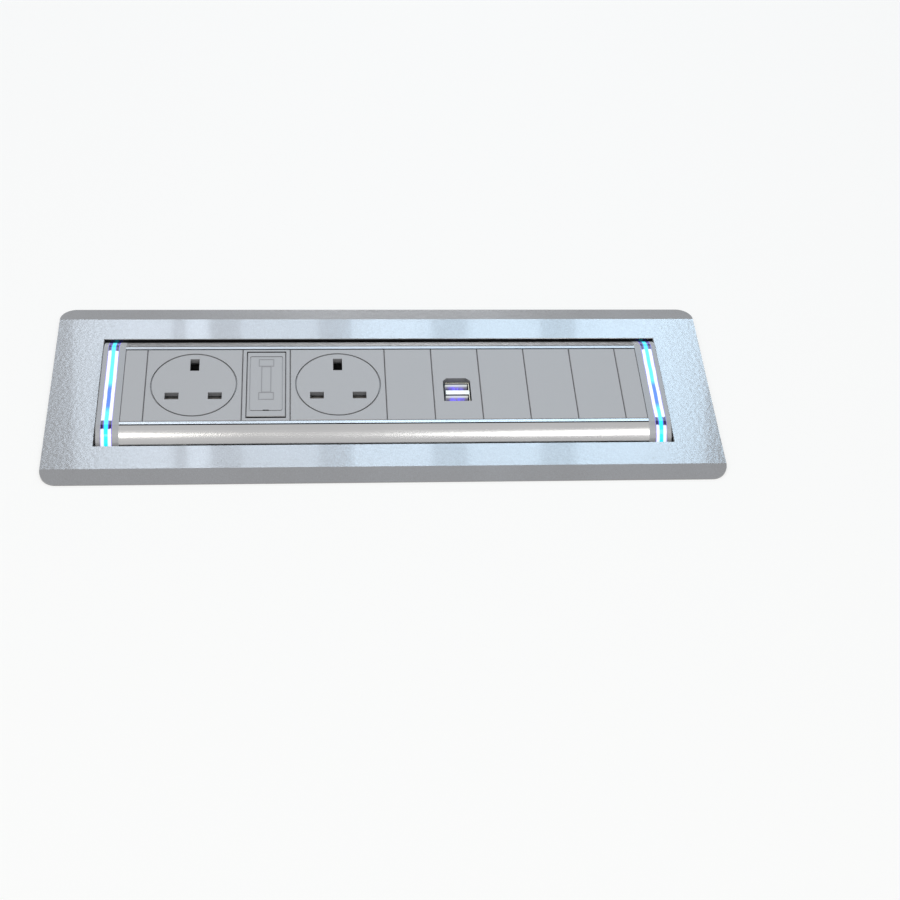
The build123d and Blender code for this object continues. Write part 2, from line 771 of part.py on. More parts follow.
# Rotor ends, from the modules outwards: inner flange, clear ring with its light strip, outer flange
strip_inset = ring_band + led_strip_thickness
for side, name in SIDES:
    with BuildPart() as inner_end:
        with BuildSketch(across(rail_end, side)):
            add(rotor_section())
            Rectangle(cable_opening_depth, cable_opening_height, mode=Mode.SUBTRACT)
            with rotor_screw_places():
                Circle(rotor_screw_radius + screw_clearance, mode=Mode.SUBTRACT)
        extrude(amount=inner_flange)
    save(inner_end, f"inner_flange_{name}")

    with BuildPart() as ring:
        with BuildSketch(across(ring_start, side)):
            add(rotor_section())
            add(rotor_section(ring_band), mode=Mode.SUBTRACT)
        extrude(amount=light_ring)
    save(ring, f"light_ring_{name}")

    with BuildPart() as core:
        with BuildSketch(across(ring_start, side)):
            add(rotor_section(strip_inset))
            Rectangle(cable_opening_depth, cable_opening_height, mode=Mode.SUBTRACT)
            with rotor_screw_places():
                Circle(rotor_screw_radius + screw_clearance, mode=Mode.SUBTRACT)
        extrude(amount=light_ring)
    save(core, f"ring_core_{name}")

    with BuildPart() as outer_end:
        with BuildSketch(across(ring_end, side)):
            add(rotor_section())
        extrude(amount=outer_flange)
        outer_face = outer_end.faces().sort_by(Axis.X)[-1 if side > 0 else 0]
        chamfer(outer_face.edges(), flange_bevel)
        shaft_tip = gear_x + gear_width if side > 0 else trough_end - clamp_nut_height
        with BuildSketch(across(rotor_end, side)):
            Circle(shaft_radius)
        extrude(amount=shaft_tip - rotor_end)
        with BuildSketch(across(shaft_tip, side)):
            Circle(shaft_bore)
        extrude(amount=ring_end - shaft_tip, mode=Mode.SUBTRACT)
        with BuildSketch(across(rotor_end, side)):
            with rotor_screw_places():
                Circle(rotor_screw_radius + screw_clearance)
        extrude(amount=-outer_flange, mode=Mode.SUBTRACT)
        with BuildSketch(across(rotor_end, side)):
            with rotor_screw_places():
                Circle(rotor_screw_head + screw_clearance)
        extrude(amount=-rotor_screw_head_height, mode=Mode.SUBTRACT)
    save(outer_end, f"outer_flange_{name}")

with BuildPart() as led_strips:
    for side, _ in SIDES:
        with BuildSketch(across(ring_start + (light_ring - led_strip_width) / 2, side)):
            add(rotor_section(ring_band))
            add(rotor_section(strip_inset), mode=Mode.SUBTRACT)
        extrude(amount=led_strip_width)
save(led_strips, "led_strips")

with BuildPart() as rotor_screws:
    for side, _ in SIDES:
        with BuildSketch(across(rotor_end, side)):
            with rotor_screw_places():
                Circle(rotor_screw_head)
        extrude(amount=-rotor_screw_head_height)
        with BuildSketch(across(rotor_end - rotor_screw_head_height, side)):
            with rotor_screw_places():
                Circle(rotor_screw_radius)
        extrude(amount=rail_end - rotor_screw_grip - rotor_end + rotor_screw_head_height)
save(rotor_screws, "rotor_screws")

# Blank modules, the two cut to fill the ends last
module_start = -module_span / 2


def slot_x(first, count=1):
    """The middle of a module that takes some places of the 25 mm grid, counted from the left."""
    return module_start + (first + count / 2) * module_pitch


for number, place in enumerate((5, 7, 8, 9), start=1):
    with BuildPart() as blank:
        add(module_shell(slot_x(place), module_pitch))
    save(blank, f"blank_module_{number}")

for side, name in SIDES:
    with BuildPart() as end_blank:
        add(module_shell(side * (rail_end - end_blank_length / 2), end_blank_length))
    save(end_blank, f"end_blank_{name}")

# Sockets: face, sprung shutter and contact block
earth_y = earth_rise
line_y = -line_drop
back_top = shutter_bottom - shutter_gap
back_half_depth = skirt_half - module_wall - ledge_gap
wedge_top = back_top - wedge_drop
cavity_floor = back_bottom + back_floor
contact_end = cavity_floor + contact_height
clear_jaw = contact_jaw + 2 * contact_wall


def slot_places(x):
    """The line and neutral places of a socket."""
    return (x - line_spacing / 2, line_y), (x + line_spacing / 2, line_y)


for x, name in ((slot_x(0, 2), "left"), (slot_x(3, 2), "right")):
    with BuildPart() as socket_plate:
        add(module_shell(x, 2 * module_pitch))
        with BuildSketch(level(face_rise)):
            with Locations((x, 0)):
                Circle(socket_ring / 2)
                Circle(socket_ring / 2 - socket_ring_width, mode=Mode.SUBTRACT)
        extrude(amount=-socket_ring_depth, mode=Mode.SUBTRACT)
        with BuildSketch(level(face_rise)):
            with Locations((x, earth_y)):
                Rectangle(slot_width, earth_slot)
            with Locations(*slot_places(x)):
                Rectangle(line_slot, slot_width)
        extrude(amount=-module_plate, mode=Mode.SUBTRACT)
    save(socket_plate, f"socket_plate_{name}")

    with BuildPart() as shutter:
        with BuildSketch(level(shutter_bottom)):
            with Locations((x, (shutter_rear - shutter_front) / 2)):
                Rectangle(2 * shutter_half_length, shutter_front + shutter_rear)
            window = slot_width + 2 * shutter_window_margin
            with Locations(*[(place[0], place[1] + shutter_travel) for place in slot_places(x)]):
                Rectangle(line_slot + 2 * shutter_window_margin, window, mode=Mode.SUBTRACT)
        extrude(amount=shutter_thickness)
        with BuildSketch(Plane(origin=(x - wedge_width / 2, 0, axis_z), x_dir=(0, 1, 0), z_dir=(1, 0, 0))):
            with BuildLine():
                Polyline(
                    (shutter_rear - wedge_thickness, shutter_bottom),
                    (shutter_rear - wedge_thickness, wedge_top + shutter_gap),
                    (shutter_rear + wedge_reach, wedge_top + shutter_gap),
                    (shutter_rear, shutter_top),
                    (shutter_rear - wedge_thickness, shutter_top),
                    close=True,
                )
            make_face()
        extrude(amount=wedge_width)
    save(shutter, f"shutter_{name}")

    spring_start = shutter_front
    spring_end = skirt_half - module_wall
    spring_length = spring_end - spring_start
    spring_z = axis_z + (shutter_top + shutter_bottom) / 2
    with BuildPart() as spring:
        with BuildLine():
            coil = Helix(
                pitch=(spring_length - 2 * spring_wire) / spring_turns,
                height=spring_length - 2 * spring_wire,
                radius=spring_radius,
                center=(x, -spring_start - spring_wire, spring_z),
                direction=(0, -1, 0),
            )
        with BuildSketch(Plane(origin=coil @ 0, z_dir=coil % 0)):
            Circle(spring_wire)
        sweep()
    save(spring, f"shutter_spring_{name}")

    with BuildPart() as socket_back:
        with BuildSketch(level(back_bottom)):
            with Locations((x, 0)):
                Rectangle(2 * back_half_length, 2 * skirt_half)
        extrude(amount=skirt_bottom - back_bottom)
        with BuildSketch(level(skirt_bottom)):
            with Locations((x, 0)):
                Rectangle(2 * back_half_length - 2 * module_wall, 2 * back_half_depth)
        extrude(amount=back_top - skirt_bottom)
        with BuildSketch(level(back_top)):
            with Locations(*slot_places(x)):
                Rectangle(line_slot, clear_jaw + 2 * contact_play)
            with Locations((x, earth_y)):
                Rectangle(clear_jaw + 2 * contact_play, earth_slot)
        extrude(amount=cavity_floor - back_top, mode=Mode.SUBTRACT)
        with BuildSketch(level(back_top)):
            slot_front = shutter_rear - wedge_thickness - shutter_travel - ledge_gap
            slot_rear = shutter_rear + wedge_reach + ledge_gap
            with Locations((x, (slot_front + slot_rear) / 2)):
                Rectangle(wedge_width + 2 * ledge_gap, slot_rear - slot_front)
        extrude(amount=-wedge_drop, mode=Mode.SUBTRACT)
    save(socket_back, f"socket_back_{name}")

with BuildPart() as socket_contacts:
    for x in (slot_x(0, 2), slot_x(3, 2)):
        with BuildSketch(level(cavity_floor)):
            with Locations(*slot_places(x)):
                Rectangle(line_slot - contact_wall, clear_jaw)
            with Locations((x, earth_y)):
                Rectangle(clear_jaw, earth_slot - contact_wall)
        extrude(amount=contact_height)
        with BuildSketch(level(cavity_floor + contact_wall)):
            with Locations(*slot_places(x)):
                Rectangle(line_slot, contact_jaw)
            with Locations((x, earth_y)):
                Rectangle(contact_jaw, earth_slot)
        extrude(amount=contact_height, mode=Mode.SUBTRACT)
save(socket_contacts, "socket_contacts")

# Fuse drawer: a deep box in the rotor, a carrier that pulls straight out, the fuse and its clips
fuse_x = slot_x(2)
fuse_face_seat = face_rise - fuse_face_thickness
drawer_length = 2 * (skirt_half - module_wall - drawer_gap)
drawer_width = fuse_face_width - 2 * (fuse_throat_margin + drawer_gap / 2)
fuse_axis = face_rise - fuse_drop
fuse_skirt = fuse_box_depth - module_plate
fuse_floor = face_rise - fuse_box_depth + module_wall
with BuildPart() as fuse_frame:
    add(module_shell(fuse_x, module_pitch, fuse_skirt))
    with BuildSketch(level(face_rise)):
        with Locations((fuse_x, 0)):
            Rectangle(fuse_face_width + 2 * fuse_face_gap, fuse_opening_length)
    extrude(amount=-fuse_face_thickness, mode=Mode.SUBTRACT)
    with BuildSketch(level(face_rise)):
        with Locations((fuse_x, 0)):
            Rectangle(drawer_width + 2 * drawer_gap, drawer_length + 2 * drawer_gap)
    extrude(amount=-module_plate, mode=Mode.SUBTRACT)
    with BuildSketch(level(fuse_floor)):
        with Locations((fuse_x, 0)):
            Rectangle(module_pitch - module_joint - 2 * ledge_gap, 2 * skirt_half)
    extrude(amount=-module_wall)
save(fuse_frame, "fuse_frame")

with BuildPart() as fuse_carrier:
    with BuildSketch(level(fuse_face_seat)):
        with Locations((fuse_x, fuse_face_y)):
            Rectangle(fuse_face_width, fuse_face_length)
    extrude(amount=fuse_face_thickness)
    chamfer(fuse_carrier.faces().sort_by(Axis.Z)[-1].edges(), module_bevel)
    with BuildSketch(level(face_rise)):
        with Locations((fuse_x, inset_y)):
            RectangleRounded(inset_width, inset_length, inset_corner)
            RectangleRounded(
                inset_width - 2 * inset_line_width,
                inset_length - 2 * inset_line_width,
                inset_corner - inset_line_width,
                mode=Mode.SUBTRACT,
            )
    extrude(amount=-inset_line_depth, mode=Mode.SUBTRACT)
    with BuildSketch(level(face_rise)):
        with Locations((fuse_x, fuse_face_y + pry_slot_inset - fuse_face_length / 2)):
            Rectangle(pry_slot_length, pry_slot_width)
    extrude(amount=-pry_slot_depth, mode=Mode.SUBTRACT)
    with BuildSketch(level(fuse_face_seat)):
        with Locations((fuse_x, 0)):
            Rectangle(drawer_width, drawer_length)
            Rectangle(drawer_width - 2 * drawer_wall, drawer_length - 2 * drawer_wall, mode=Mode.SUBTRACT)
    extrude(amount=-drawer_depth)
    cradle_gap = (drawer_length / 2 + fuse_length / 2) / 2
    for direction in (-1, 1):
        with BuildSketch(level(fuse_face_seat)):
            with Locations((fuse_x, direction * cradle_gap)):
                Rectangle(drawer_width - drawer_wall, drawer_length / 2 - fuse_length / 2)
        extrude(amount=-drawer_depth)
save(fuse_carrier, "fuse_carrier")

with BuildPart() as fuse_cartridge:
    with BuildSketch(Plane.XZ.offset(-fuse_length / 2)):
        with Locations((fuse_x, axis_z + fuse_axis)):
            Circle(fuse_radius - fuse_body_step)
    extrude(amount=fuse_length)
    for start in (-fuse_length / 2, fuse_length / 2 - fuse_cap_length):
        with BuildSketch(Plane.XZ.offset(start)):
            with Locations((fuse_x, axis_z + fuse_axis)):
                Circle(fuse_radius)
        extrude(amount=fuse_cap_length)
save(fuse_cartridge, "fuse_cartridge")

clip_y = (fuse_length - fuse_cap_length) / 2
clip_half = fuse_radius + clip_gap + clip_wall
with BuildPart() as fuse_clips:
    with BuildSketch(level(fuse_floor)):
        with Locations((fuse_x, 0)):
            with GridLocations(1, 2 * clip_y, 1, 2):
                Rectangle(2 * clip_half, clip_width)
    extrude(amount=fuse_axis + clip_grip - fuse_floor)
    with BuildSketch(level(fuse_floor + clip_base)):
        with Locations((fuse_x, 0)):
            Rectangle(2 * (clip_half - clip_wall), fuse_length)
    extrude(amount=fuse_axis + fuse_radius - fuse_floor, mode=Mode.SUBTRACT)
save(fuse_clips, "fuse_clips")

# Twin charging ports on a small board, behind an opening with two cut corners
usb_x = slot_x(6)
port_mouth = face_rise - usb_port_recess
board_top = port_mouth - usb_shell_height
usb_ports_y = usb_opening_y + usb_ports_shift
usb_shell_length = usb_mouth_length + 2 * usb_shell_wall
usb_shell_depth = usb_port_pitch + usb_mouth_depth + 2 * usb_shell_wall
with BuildPart() as usb_plate:
    add(module_shell(usb_x, module_pitch))
    with BuildSketch(level(face_rise)) as usb_opening:
        with Locations((usb_x, usb_opening_y)):
            Rectangle(usb_opening_length, usb_opening_depth)
        chamfer(usb_opening.vertices().group_by(Axis.Y)[-1], usb_opening_corner)
    extrude(amount=-module_plate, mode=Mode.SUBTRACT)
save(usb_plate, "usb_plate")

with BuildPart() as usb_ports:
    with BuildSketch(level(port_mouth)):
        with Locations((usb_x, usb_ports_y)):
            Rectangle(usb_shell_length, usb_shell_depth)
            with GridLocations(1, usb_port_pitch, 1, 2):
                Rectangle(usb_mouth_length, usb_mouth_depth, mode=Mode.SUBTRACT)
    extrude(amount=-usb_shell_height)
save(usb_ports, "usb_ports")

with BuildPart() as usb_tongues:
    with BuildSketch(level(board_top)):
        with Locations((usb_x, usb_ports_y)):
            with GridLocations(1, usb_port_pitch, 1, 2):
                Rectangle(usb_mouth_length, usb_mouth_depth)
    extrude(amount=usb_insulator)
    with BuildSketch(level(board_top + usb_insulator)):
        with Locations((usb_x, usb_ports_y + usb_tongue_offset)):
            with GridLocations(1, usb_port_pitch, 1, 2):
                Rectangle(usb_tongue_length, usb_tongue_thickness)
    extrude(amount=port_mouth - usb_tongue_recess - board_top - usb_insulator)
save(usb_tongues, "usb_tongues")

with BuildPart() as usb_board:
    with BuildSketch(level(board_top)):
        with Locations((usb_x, 0)):
            Rectangle(usb_board_length, usb_board_depth)
    extrude(amount=-board_thickness)
save(usb_board, "usb_board")

# Power supply and control board on the trough's floor, and the supply inlet in its rear wall
with BuildPart() as power_supply:
    with BuildSketch(Plane.XY.offset(floor_z)):
        with Locations((supply_x, 0)):
            Rectangle(supply_length, supply_depth)
    extrude(amount=supply_height)
    fillet(power_supply.edges().filter_by(Axis.Z), supply_corner)
    chamfer(power_supply.faces().sort_by(Axis.Z)[-1].edges(), supply_corner / 2)
    with BuildSketch(Plane.XY.offset(floor_z)):
        with Locations((supply_x, 0)):
            with GridLocations(supply_length + supply_lug, supply_depth / 2, 2, 2):
                Rectangle(supply_lug, supply_lug)
                Circle(rotor_screw_radius, mode=Mode.SUBTRACT)
    extrude(amount=supply_lug_thickness)
save(power_supply, "power_supply")

board_bottom = floor_z + control_standoff
with BuildPart() as control_board:
    with BuildSketch(Plane.XY.offset(board_bottom)):
        with Locations((control_x, control_y)):
            Rectangle(control_length, control_depth)
    extrude(amount=board_thickness)
    with BuildSketch(Plane.XY.offset(floor_z)):
        with Locations((control_x, control_y)):
            hole_length = control_length - 2 * control_hole_inset
            with GridLocations(hole_length, control_depth - 2 * control_hole_inset, 2, 2):
                Circle(control_standoff_radius)
    extrude(amount=control_standoff)
    for offset_x, offset_y, length, depth, height in control_parts:
        with BuildSketch(Plane.XY.offset(board_bottom + board_thickness)):
            with Locations((control_x + offset_x, control_y + offset_y)):
                Rectangle(length, depth)
        extrude(amount=height)
save(control_board, "control_board")

with BuildPart() as supply_inlet:
    with BuildSketch(inlet_plane):
        flange_length = inlet_body_length + 2 * inlet_flange_margin
        RectangleRounded(flange_length, inlet_body_height + inlet_flange_margin, inlet_corner)
    extrude(amount=inlet_flange)
    with BuildSketch(inlet_plane):
        Rectangle(inlet_body_length, inlet_body_height)
    extrude(amount=inlet_flange - inlet_cavity_depth - inlet_floor)
    with BuildSketch(inlet_plane.offset(inlet_flange)) as cavity:
        Rectangle(inlet_cavity_length, inlet_cavity_height)
        chamfer(cavity.vertices().group_by(Axis.Y)[-1], inlet_cavity_corner)
    extrude(amount=-inlet_cavity_depth, mode=Mode.SUBTRACT)
save(supply_inlet, "supply_inlet")

with BuildPart() as inlet_pins:
    with BuildSketch(inlet_plane.offset(inlet_flange - inlet_cavity_depth)):
        with GridLocations(inlet_pin_spacing, 1, 2, 1):
            Rectangle(inlet_pin_width, inlet_pin_height)
        with Locations((0, inlet_earth_rise)):
            Rectangle(inlet_pin_width, inlet_pin_height)
    extrude(amount=inlet_cavity_depth - inlet_pin_recess)
save(inlet_pins, "inlet_pins")
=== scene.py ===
"""Looks for the desk power unit: a rotor of sockets and charging ports that turns over in a worktop rim."""

from __future__ import annotations

import logging
import math
from dataclasses import dataclass, field
from enum import Enum
from typing import Protocol

import bpy
from mathutils import Matrix, Vector


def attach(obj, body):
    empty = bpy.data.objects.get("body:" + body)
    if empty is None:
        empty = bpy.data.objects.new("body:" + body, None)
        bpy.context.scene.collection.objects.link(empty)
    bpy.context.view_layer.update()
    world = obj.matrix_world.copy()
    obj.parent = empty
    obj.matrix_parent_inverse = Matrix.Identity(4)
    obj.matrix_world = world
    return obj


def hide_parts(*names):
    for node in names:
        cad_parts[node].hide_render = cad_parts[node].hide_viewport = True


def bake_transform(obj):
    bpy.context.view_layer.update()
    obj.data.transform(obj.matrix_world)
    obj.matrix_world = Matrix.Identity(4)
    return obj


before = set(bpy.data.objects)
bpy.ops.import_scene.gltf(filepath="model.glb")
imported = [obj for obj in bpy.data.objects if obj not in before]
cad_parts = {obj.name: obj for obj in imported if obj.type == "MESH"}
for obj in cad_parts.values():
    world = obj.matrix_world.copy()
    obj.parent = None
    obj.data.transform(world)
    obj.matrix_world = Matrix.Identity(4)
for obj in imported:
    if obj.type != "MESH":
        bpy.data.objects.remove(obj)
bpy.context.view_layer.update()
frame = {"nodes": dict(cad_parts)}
MM = 0.001
LOG = logging.getLogger("desk_power_unit")
Colour = tuple[float, float, float]
Point = tuple[float, float, float]
Pair = tuple[float, float]
Pane = tuple[float, float, float, Colour]
Piece = bpy.types.Object
Material = bpy.types.Material
# Places on the CAD model.
MODULE_TOP = 6.85 * MM
RING_MIDDLE = 142.9 * MM
RING_HALF = 2.9 * MM
TROUGH_WALL = 44.2 * MM
PORT_X = 37.5 * MM
# What several finishes share.
MODULE_GREY: Colour = (0.385, 0.387, 0.40)
GRAIN_DEPTH = 0.02 * MM
BRUSHED_X = (12.0, 5200.0, 5200.0)


class Body(Enum):
    """The moving bodies that new pieces ride on."""

    HOUSING = "housing"
    ROTOR = "rotor"
    DRAWER = "fuse_drawer"


class Axis(Enum):
    """A piece's own axes."""

    X = "X"
    Y = "Y"
    Z = "Z"


class Wire:
    """A shader socket that adds Math nodes where it meets numbers or other sockets."""

    def __init__(self, shade: Shade, socket: bpy.types.NodeSocket) -> None:
        """Keeps the socket and the shade that it belongs to."""
        self.shade = shade
        self.socket = socket

    def _math(self, operation: str, first: Wire | float, second: Wire | float = 0.0) -> Wire:
        """Adds one Math node.

        Args:
            operation: the Math node's operation.
            first: its first value or socket.
            second: its second value or socket.

        Returns:
            The result's socket.
        """
        return self.shade.node("ShaderNodeMath", {"operation": operation}, {0: first, 1: second})

    def __add__(self, other: Wire | float) -> Wire:
        """Sum."""
        return self._math("ADD", self, other)

    __radd__ = __add__

    def __sub__(self, other: Wire | float) -> Wire:
        """Difference."""
        return self._math("SUBTRACT", self, other)

    def __rsub__(self, other: float) -> Wire:
        """Difference from a number."""
        return self._math("SUBTRACT", other, self)

    def __mul__(self, other: Wire | float) -> Wire:
        """Product."""
        return self._math("MULTIPLY", self, other)

    __rmul__ = __mul__

    def __truediv__(self, other: Wire | float) -> Wire:
        """Quotient."""
        return self._math("DIVIDE", self, other)

    def __abs__(self) -> Wire:
        """Size without sign."""
        return self._math("ABSOLUTE", self)

    def larger(self, other: Wire | float) -> Wire:
        """The larger of this and another value."""
        return self._math("MAXIMUM", self, other)

    def above(self, edge: float) -> Wire:
        """One where the value is above an edge, and zero elsewhere."""
        return self._math("GREATER_THAN", self, edge)

    def ramp(self, low: float, high: float, start: float = 0.0, end: float = 1.0) -> Wire:
        """Maps a span of values onto another, smoothly and clamped.

        Args:
            low: where the span starts.
            high: where it ends.
            start: the result at low.
            end: the result at high.

        Returns:
            The result.
        """
        return self.shade.node(
            "ShaderNodeMapRange",
            {"interpolation_type": "SMOOTHSTEP", "clamp": True},
            {"Value": self, "From Min": low, "From Max": high, "To Min": start, "To Max": end},
        )


class Shade:
    """One procedural material or world, and the calls that add nodes to it."""

    def __init__(self, name: str, world: bool = False) -> None:
        """Starts an empty material or world.

        Args:
            name: its name.
            world: whether it is a world.
        """
        self.made = (bpy.data.worlds if world else bpy.data.materials).new(name)
        self.made.use_nodes = True
        self.output = "ShaderNodeOutputWorld" if world else "ShaderNodeOutputMaterial"
        self.tree = self.made.node_tree
        self.tree.nodes.clear()
        self.place = self.node("ShaderNodeTexCoord", out="Object")

    def node(
        self, kind: str, settings: dict | None = None, sockets: dict | None = None, out: str | int = 0
    ) -> Wire:
        """Adds any node.

        Args:
            kind: the node's type.
            settings: its settings, set first.
            sockets: values or links for its input sockets, by name or number.
            out: the output that is wanted.

        Returns:
            That output.
        """
        made = self.tree.nodes.new(kind)
        for key, value in (settings or {}).items():
            setattr(made, key, value)
        for key, value in (sockets or {}).items():
            if isinstance(value, Wire):
                self.tree.links.new(value.socket, made.inputs[key])
            elif isinstance(value, tuple) and made.inputs[key].type == "RGBA":
                made.inputs[key].default_value = (*value, 1.0)[:4]
            else:
                made.inputs[key].default_value = value
        return Wire(self, made.outputs[out])

    def noise(self, scale: float | Point, detail: float = 2.0, rough: float = 0.5) -> Wire:
        """Noise over the object.

        Args:
            scale: features per metre, the same all ways or by axis.
            detail: octaves.
            rough: how strong the finer octaves are.

        Returns:
            The noise, from 0 to 1.
        """
        if isinstance(scale, tuple):
            place = self.node("ShaderNodeMapping", {}, {"Vector": self.place, "Scale": scale})
            scale = 1.0
        else:
            place = self.place
        sockets = {"Vector": place, "Scale": scale, "Detail": detail, "Roughness": rough}
        return self.node("ShaderNodeTexNoise", {}, sockets, "Fac")

    def blend(self, amount: Wire | float, first: Wire | Colour, second: Wire | Colour) -> Wire:
        """Mixes two colours.

        Args:
            amount: 0 for the first colour, 1 for the second.
            first: a colour or socket.
            second: a colour or socket.

        Returns:
            The mixed colour.
        """
        return self.node("ShaderNodeMix", {"data_type": "RGBA"}, {0: amount, 6: first, 7: second}, 2)

    def along(self, axis: Axis) -> Wire:
        """The object's coordinate along an axis, in metres."""
        return self.node("ShaderNodeSeparateXYZ", {}, {0: self.place}, axis.value)

    def bump(self, height: Wire, depth: float, strength: float = 1.0) -> Wire:
        """Bump from a height.

        Args:
            height: the height, from 0 to 1.
            depth: what 1 stands for, in metres.
            strength: how much of it shows.

        Returns:
            The normal.
        """
        sockets = {"Height": height, "Distance": depth, "Strength": strength}
        return self.node("ShaderNodeBump", {}, sockets, "Normal")

    def finish(self, **sockets: Wire | float | Colour) -> Material:
        """Ends the material in a Principled shader.

        Args:
            **sockets: the shader's sockets, with underscores for spaces.

        Returns:
            The material.
        """
        named = {key.replace("_", " "): value for key, value in sockets.items()}
        return self.end(self.node("ShaderNodeBsdfPrincipled", {}, named))

    def end(self, surface: Wire) -> bpy.types.ID:
        """Joins a shader to the output.

        Args:
            surface: the shader.

        Returns:
            The material or world.
        """
        output = self.tree.nodes.new(self.output)
        self.tree.links.new(surface.socket, output.inputs["Surface"])
        return self.made

    def seen(self) -> Wire:
        """Tells the rays that show a surface from those that only light others.

        Returns:
            One for camera, mirror and glass rays, and zero for the rest.
        """
        camera, glossy, through = (
            self.node("ShaderNodeLightPath", out=ray)
            for ray in ("Is Camera Ray", "Is Glossy Ray", "Is Transmission Ray")
        )
        return camera.larger(glossy).larger(through)

    def brushing(self, grain: Point, roughness: float) -> tuple[Wire, Wire, Wire]:
        """Brushed lines over soft clouds.

        Args:
            grain: lines per metre by axis.
            roughness: the metal's mean roughness.

        Returns:
            The brightness, the roughness and the normal.
        """
        lines = self.noise(grain, 3.0, 0.6)
        cloud = self.noise(18.0, 2.0)
        varied = roughness + (lines - 0.5) * 0.16 + (cloud - 0.5) * 0.08
        return lines * 0.7 + cloud * 0.3, varied, self.bump(lines, GRAIN_DEPTH, 0.35)


class Finish(Protocol):
    """Whatever makes a material."""

    def make(self) -> Material:
        """The finish's material."""


@dataclass(frozen=True)
class RimCoat:
    """Glossy silver-grey coat with a fine orange-peel surface, and painted shade on the opening's inner
    walls.
    """

    name: str = "rim_coat"
    base: Colour = (0.225, 0.225, 0.23)
    flake: Colour = (0.29, 0.295, 0.31)
    # Painted shade for the opening's inner walls.
    opening_wall_shade: Colour = (0.02, 0.02, 0.022)
    opening: Pair = (149.0 * MM, 38.25 * MM)
    opening_wall_shade_top: float = 1.95 * MM
    roughness: float = 0.21
    speck_scale: float = 3400.0
    band_scale: Point = (26.0, 5.0, 5.0)
    peel_scale: float = 430.0
    peel_depth: float = 0.09 * MM

    def make(self) -> Material:
        """Makes the finish's material.

        Returns:
            The material.
        """
        shade = Shade(self.name)
        speck = shade.noise(self.speck_scale, 2.0)
        bands = shade.noise(self.band_scale, 2.0)
        peel = shade.noise(self.peel_scale, 2.0, 0.45)
        coat = shade.blend(speck.ramp(0.4, 0.65) * 0.7 + bands * 0.3, self.base, self.flake)
        # Painted shade: inside the opening and below the top of its walls, the coat turns near black.
        half_x, half_y = self.opening
        inside_x = 1.0 - abs(shade.along(Axis.X)).above(half_x)
        inside_y = 1.0 - abs(shade.along(Axis.Y)).above(half_y)
        edge = inside_x * inside_y * (1.0 - shade.along(Axis.Z).above(self.opening_wall_shade_top))
        return shade.finish(
            Base_Color=shade.blend(edge, coat, self.opening_wall_shade),
            Metallic=0.3,
            Roughness=self.roughness + (bands - 0.5).larger(-0.25) * 0.14 + (peel - 0.5) * 0.05,
            Coat_Weight=0.42 + bands * 0.3,
            Coat_Roughness=0.045,
            Normal=shade.bump(peel, self.peel_depth, 0.7),
        )


@dataclass(frozen=True)
class SatinCoat:
    """Plain satin paint."""

    name: str
    base: Colour
    roughness: float = 0.42
    metallic: float = 0.1

    def make(self) -> Material:
        """Makes the finish's material.

        Returns:
            The material.
        """
        shade = Shade(self.name)
        cloud = shade.noise(60.0, 3.0)
        grain = shade.noise(3200.0, 1.0)
        worn = tuple(channel * 1.12 for channel in self.base)
        return shade.finish(
            Base_Color=shade.blend(cloud * 0.6 + grain * 0.25, self.base, worn),
            Metallic=self.metallic,
            Roughness=self.roughness + cloud * 0.08,
            Normal=shade.bump(grain, GRAIN_DEPTH, 0.4),
        )


@dataclass(frozen=True)
class BrushedMetal:
    """Metal with fine lines along one axis."""

    name: str
    base: Colour
    bright: Colour
    roughness: float = 0.3
    grain: Point = BRUSHED_X

    def make(self) -> Material:
        """Makes the finish's material.

        Returns:
            The material.
        """
        shade = Shade(self.name)
        tone, roughness, normal = shade.brushing(self.grain, self.roughness)
        return shade.finish(
            Base_Color=shade.blend(tone, self.base, self.bright),
            Metallic=1.0,
            Roughness=roughness,
            Normal=normal,
        )


@dataclass(frozen=True)
class RailFinish:
    """Anodised extrusion: a bright shoulder, and a flat beside the modules between two dark lines of painted
    shade, one in the joint by the modules and one in the groove.
    """

    name: str
    base: Colour
    bright: Colour
    # Painted reflection: the flat takes a tone of its own, which sets how bright the window it mirrors shows.
    flat: Colour = (0.25, 0.25, 0.255)
    # Painted shade: the dark line in the joint by the modules, and the groove's darker tone.
    line: Colour = (0.05, 0.05, 0.055)
    groove: Colour = (0.10, 0.10, 0.105)
    flat_start: float = 25.95 * MM
    flat_end: float = 27.55 * MM
    line_end: float = 28.25 * MM
    roughness: float = 0.36

    def make(self) -> Material:
        """Makes the finish's material.

        Returns:
            The material.
        """
        shade = Shade(self.name)
        tone, roughness, normal = shade.brushing(BRUSHED_X, self.roughness)
        shoulder = shade.blend(tone, self.base, self.bright)
        across = abs(shade.along(Axis.Y))
        flat = shade.blend(shade.noise(18.0, 2.0) * 0.3, self.flat, self.bright)
        # From the modules outwards: the joint line of painted shade, the flat, the groove of painted shade,
        # the shoulder.
        inner = shade.blend(across.above(self.flat_end), flat, self.groove)
        outer = shade.blend(across.above(self.line_end), inner, shoulder)
        return shade.finish(
            Base_Color=shade.blend(across.above(self.flat_start), self.line, outer),
            Metallic=1.0,
            Roughness=roughness,
            Normal=normal,
        )


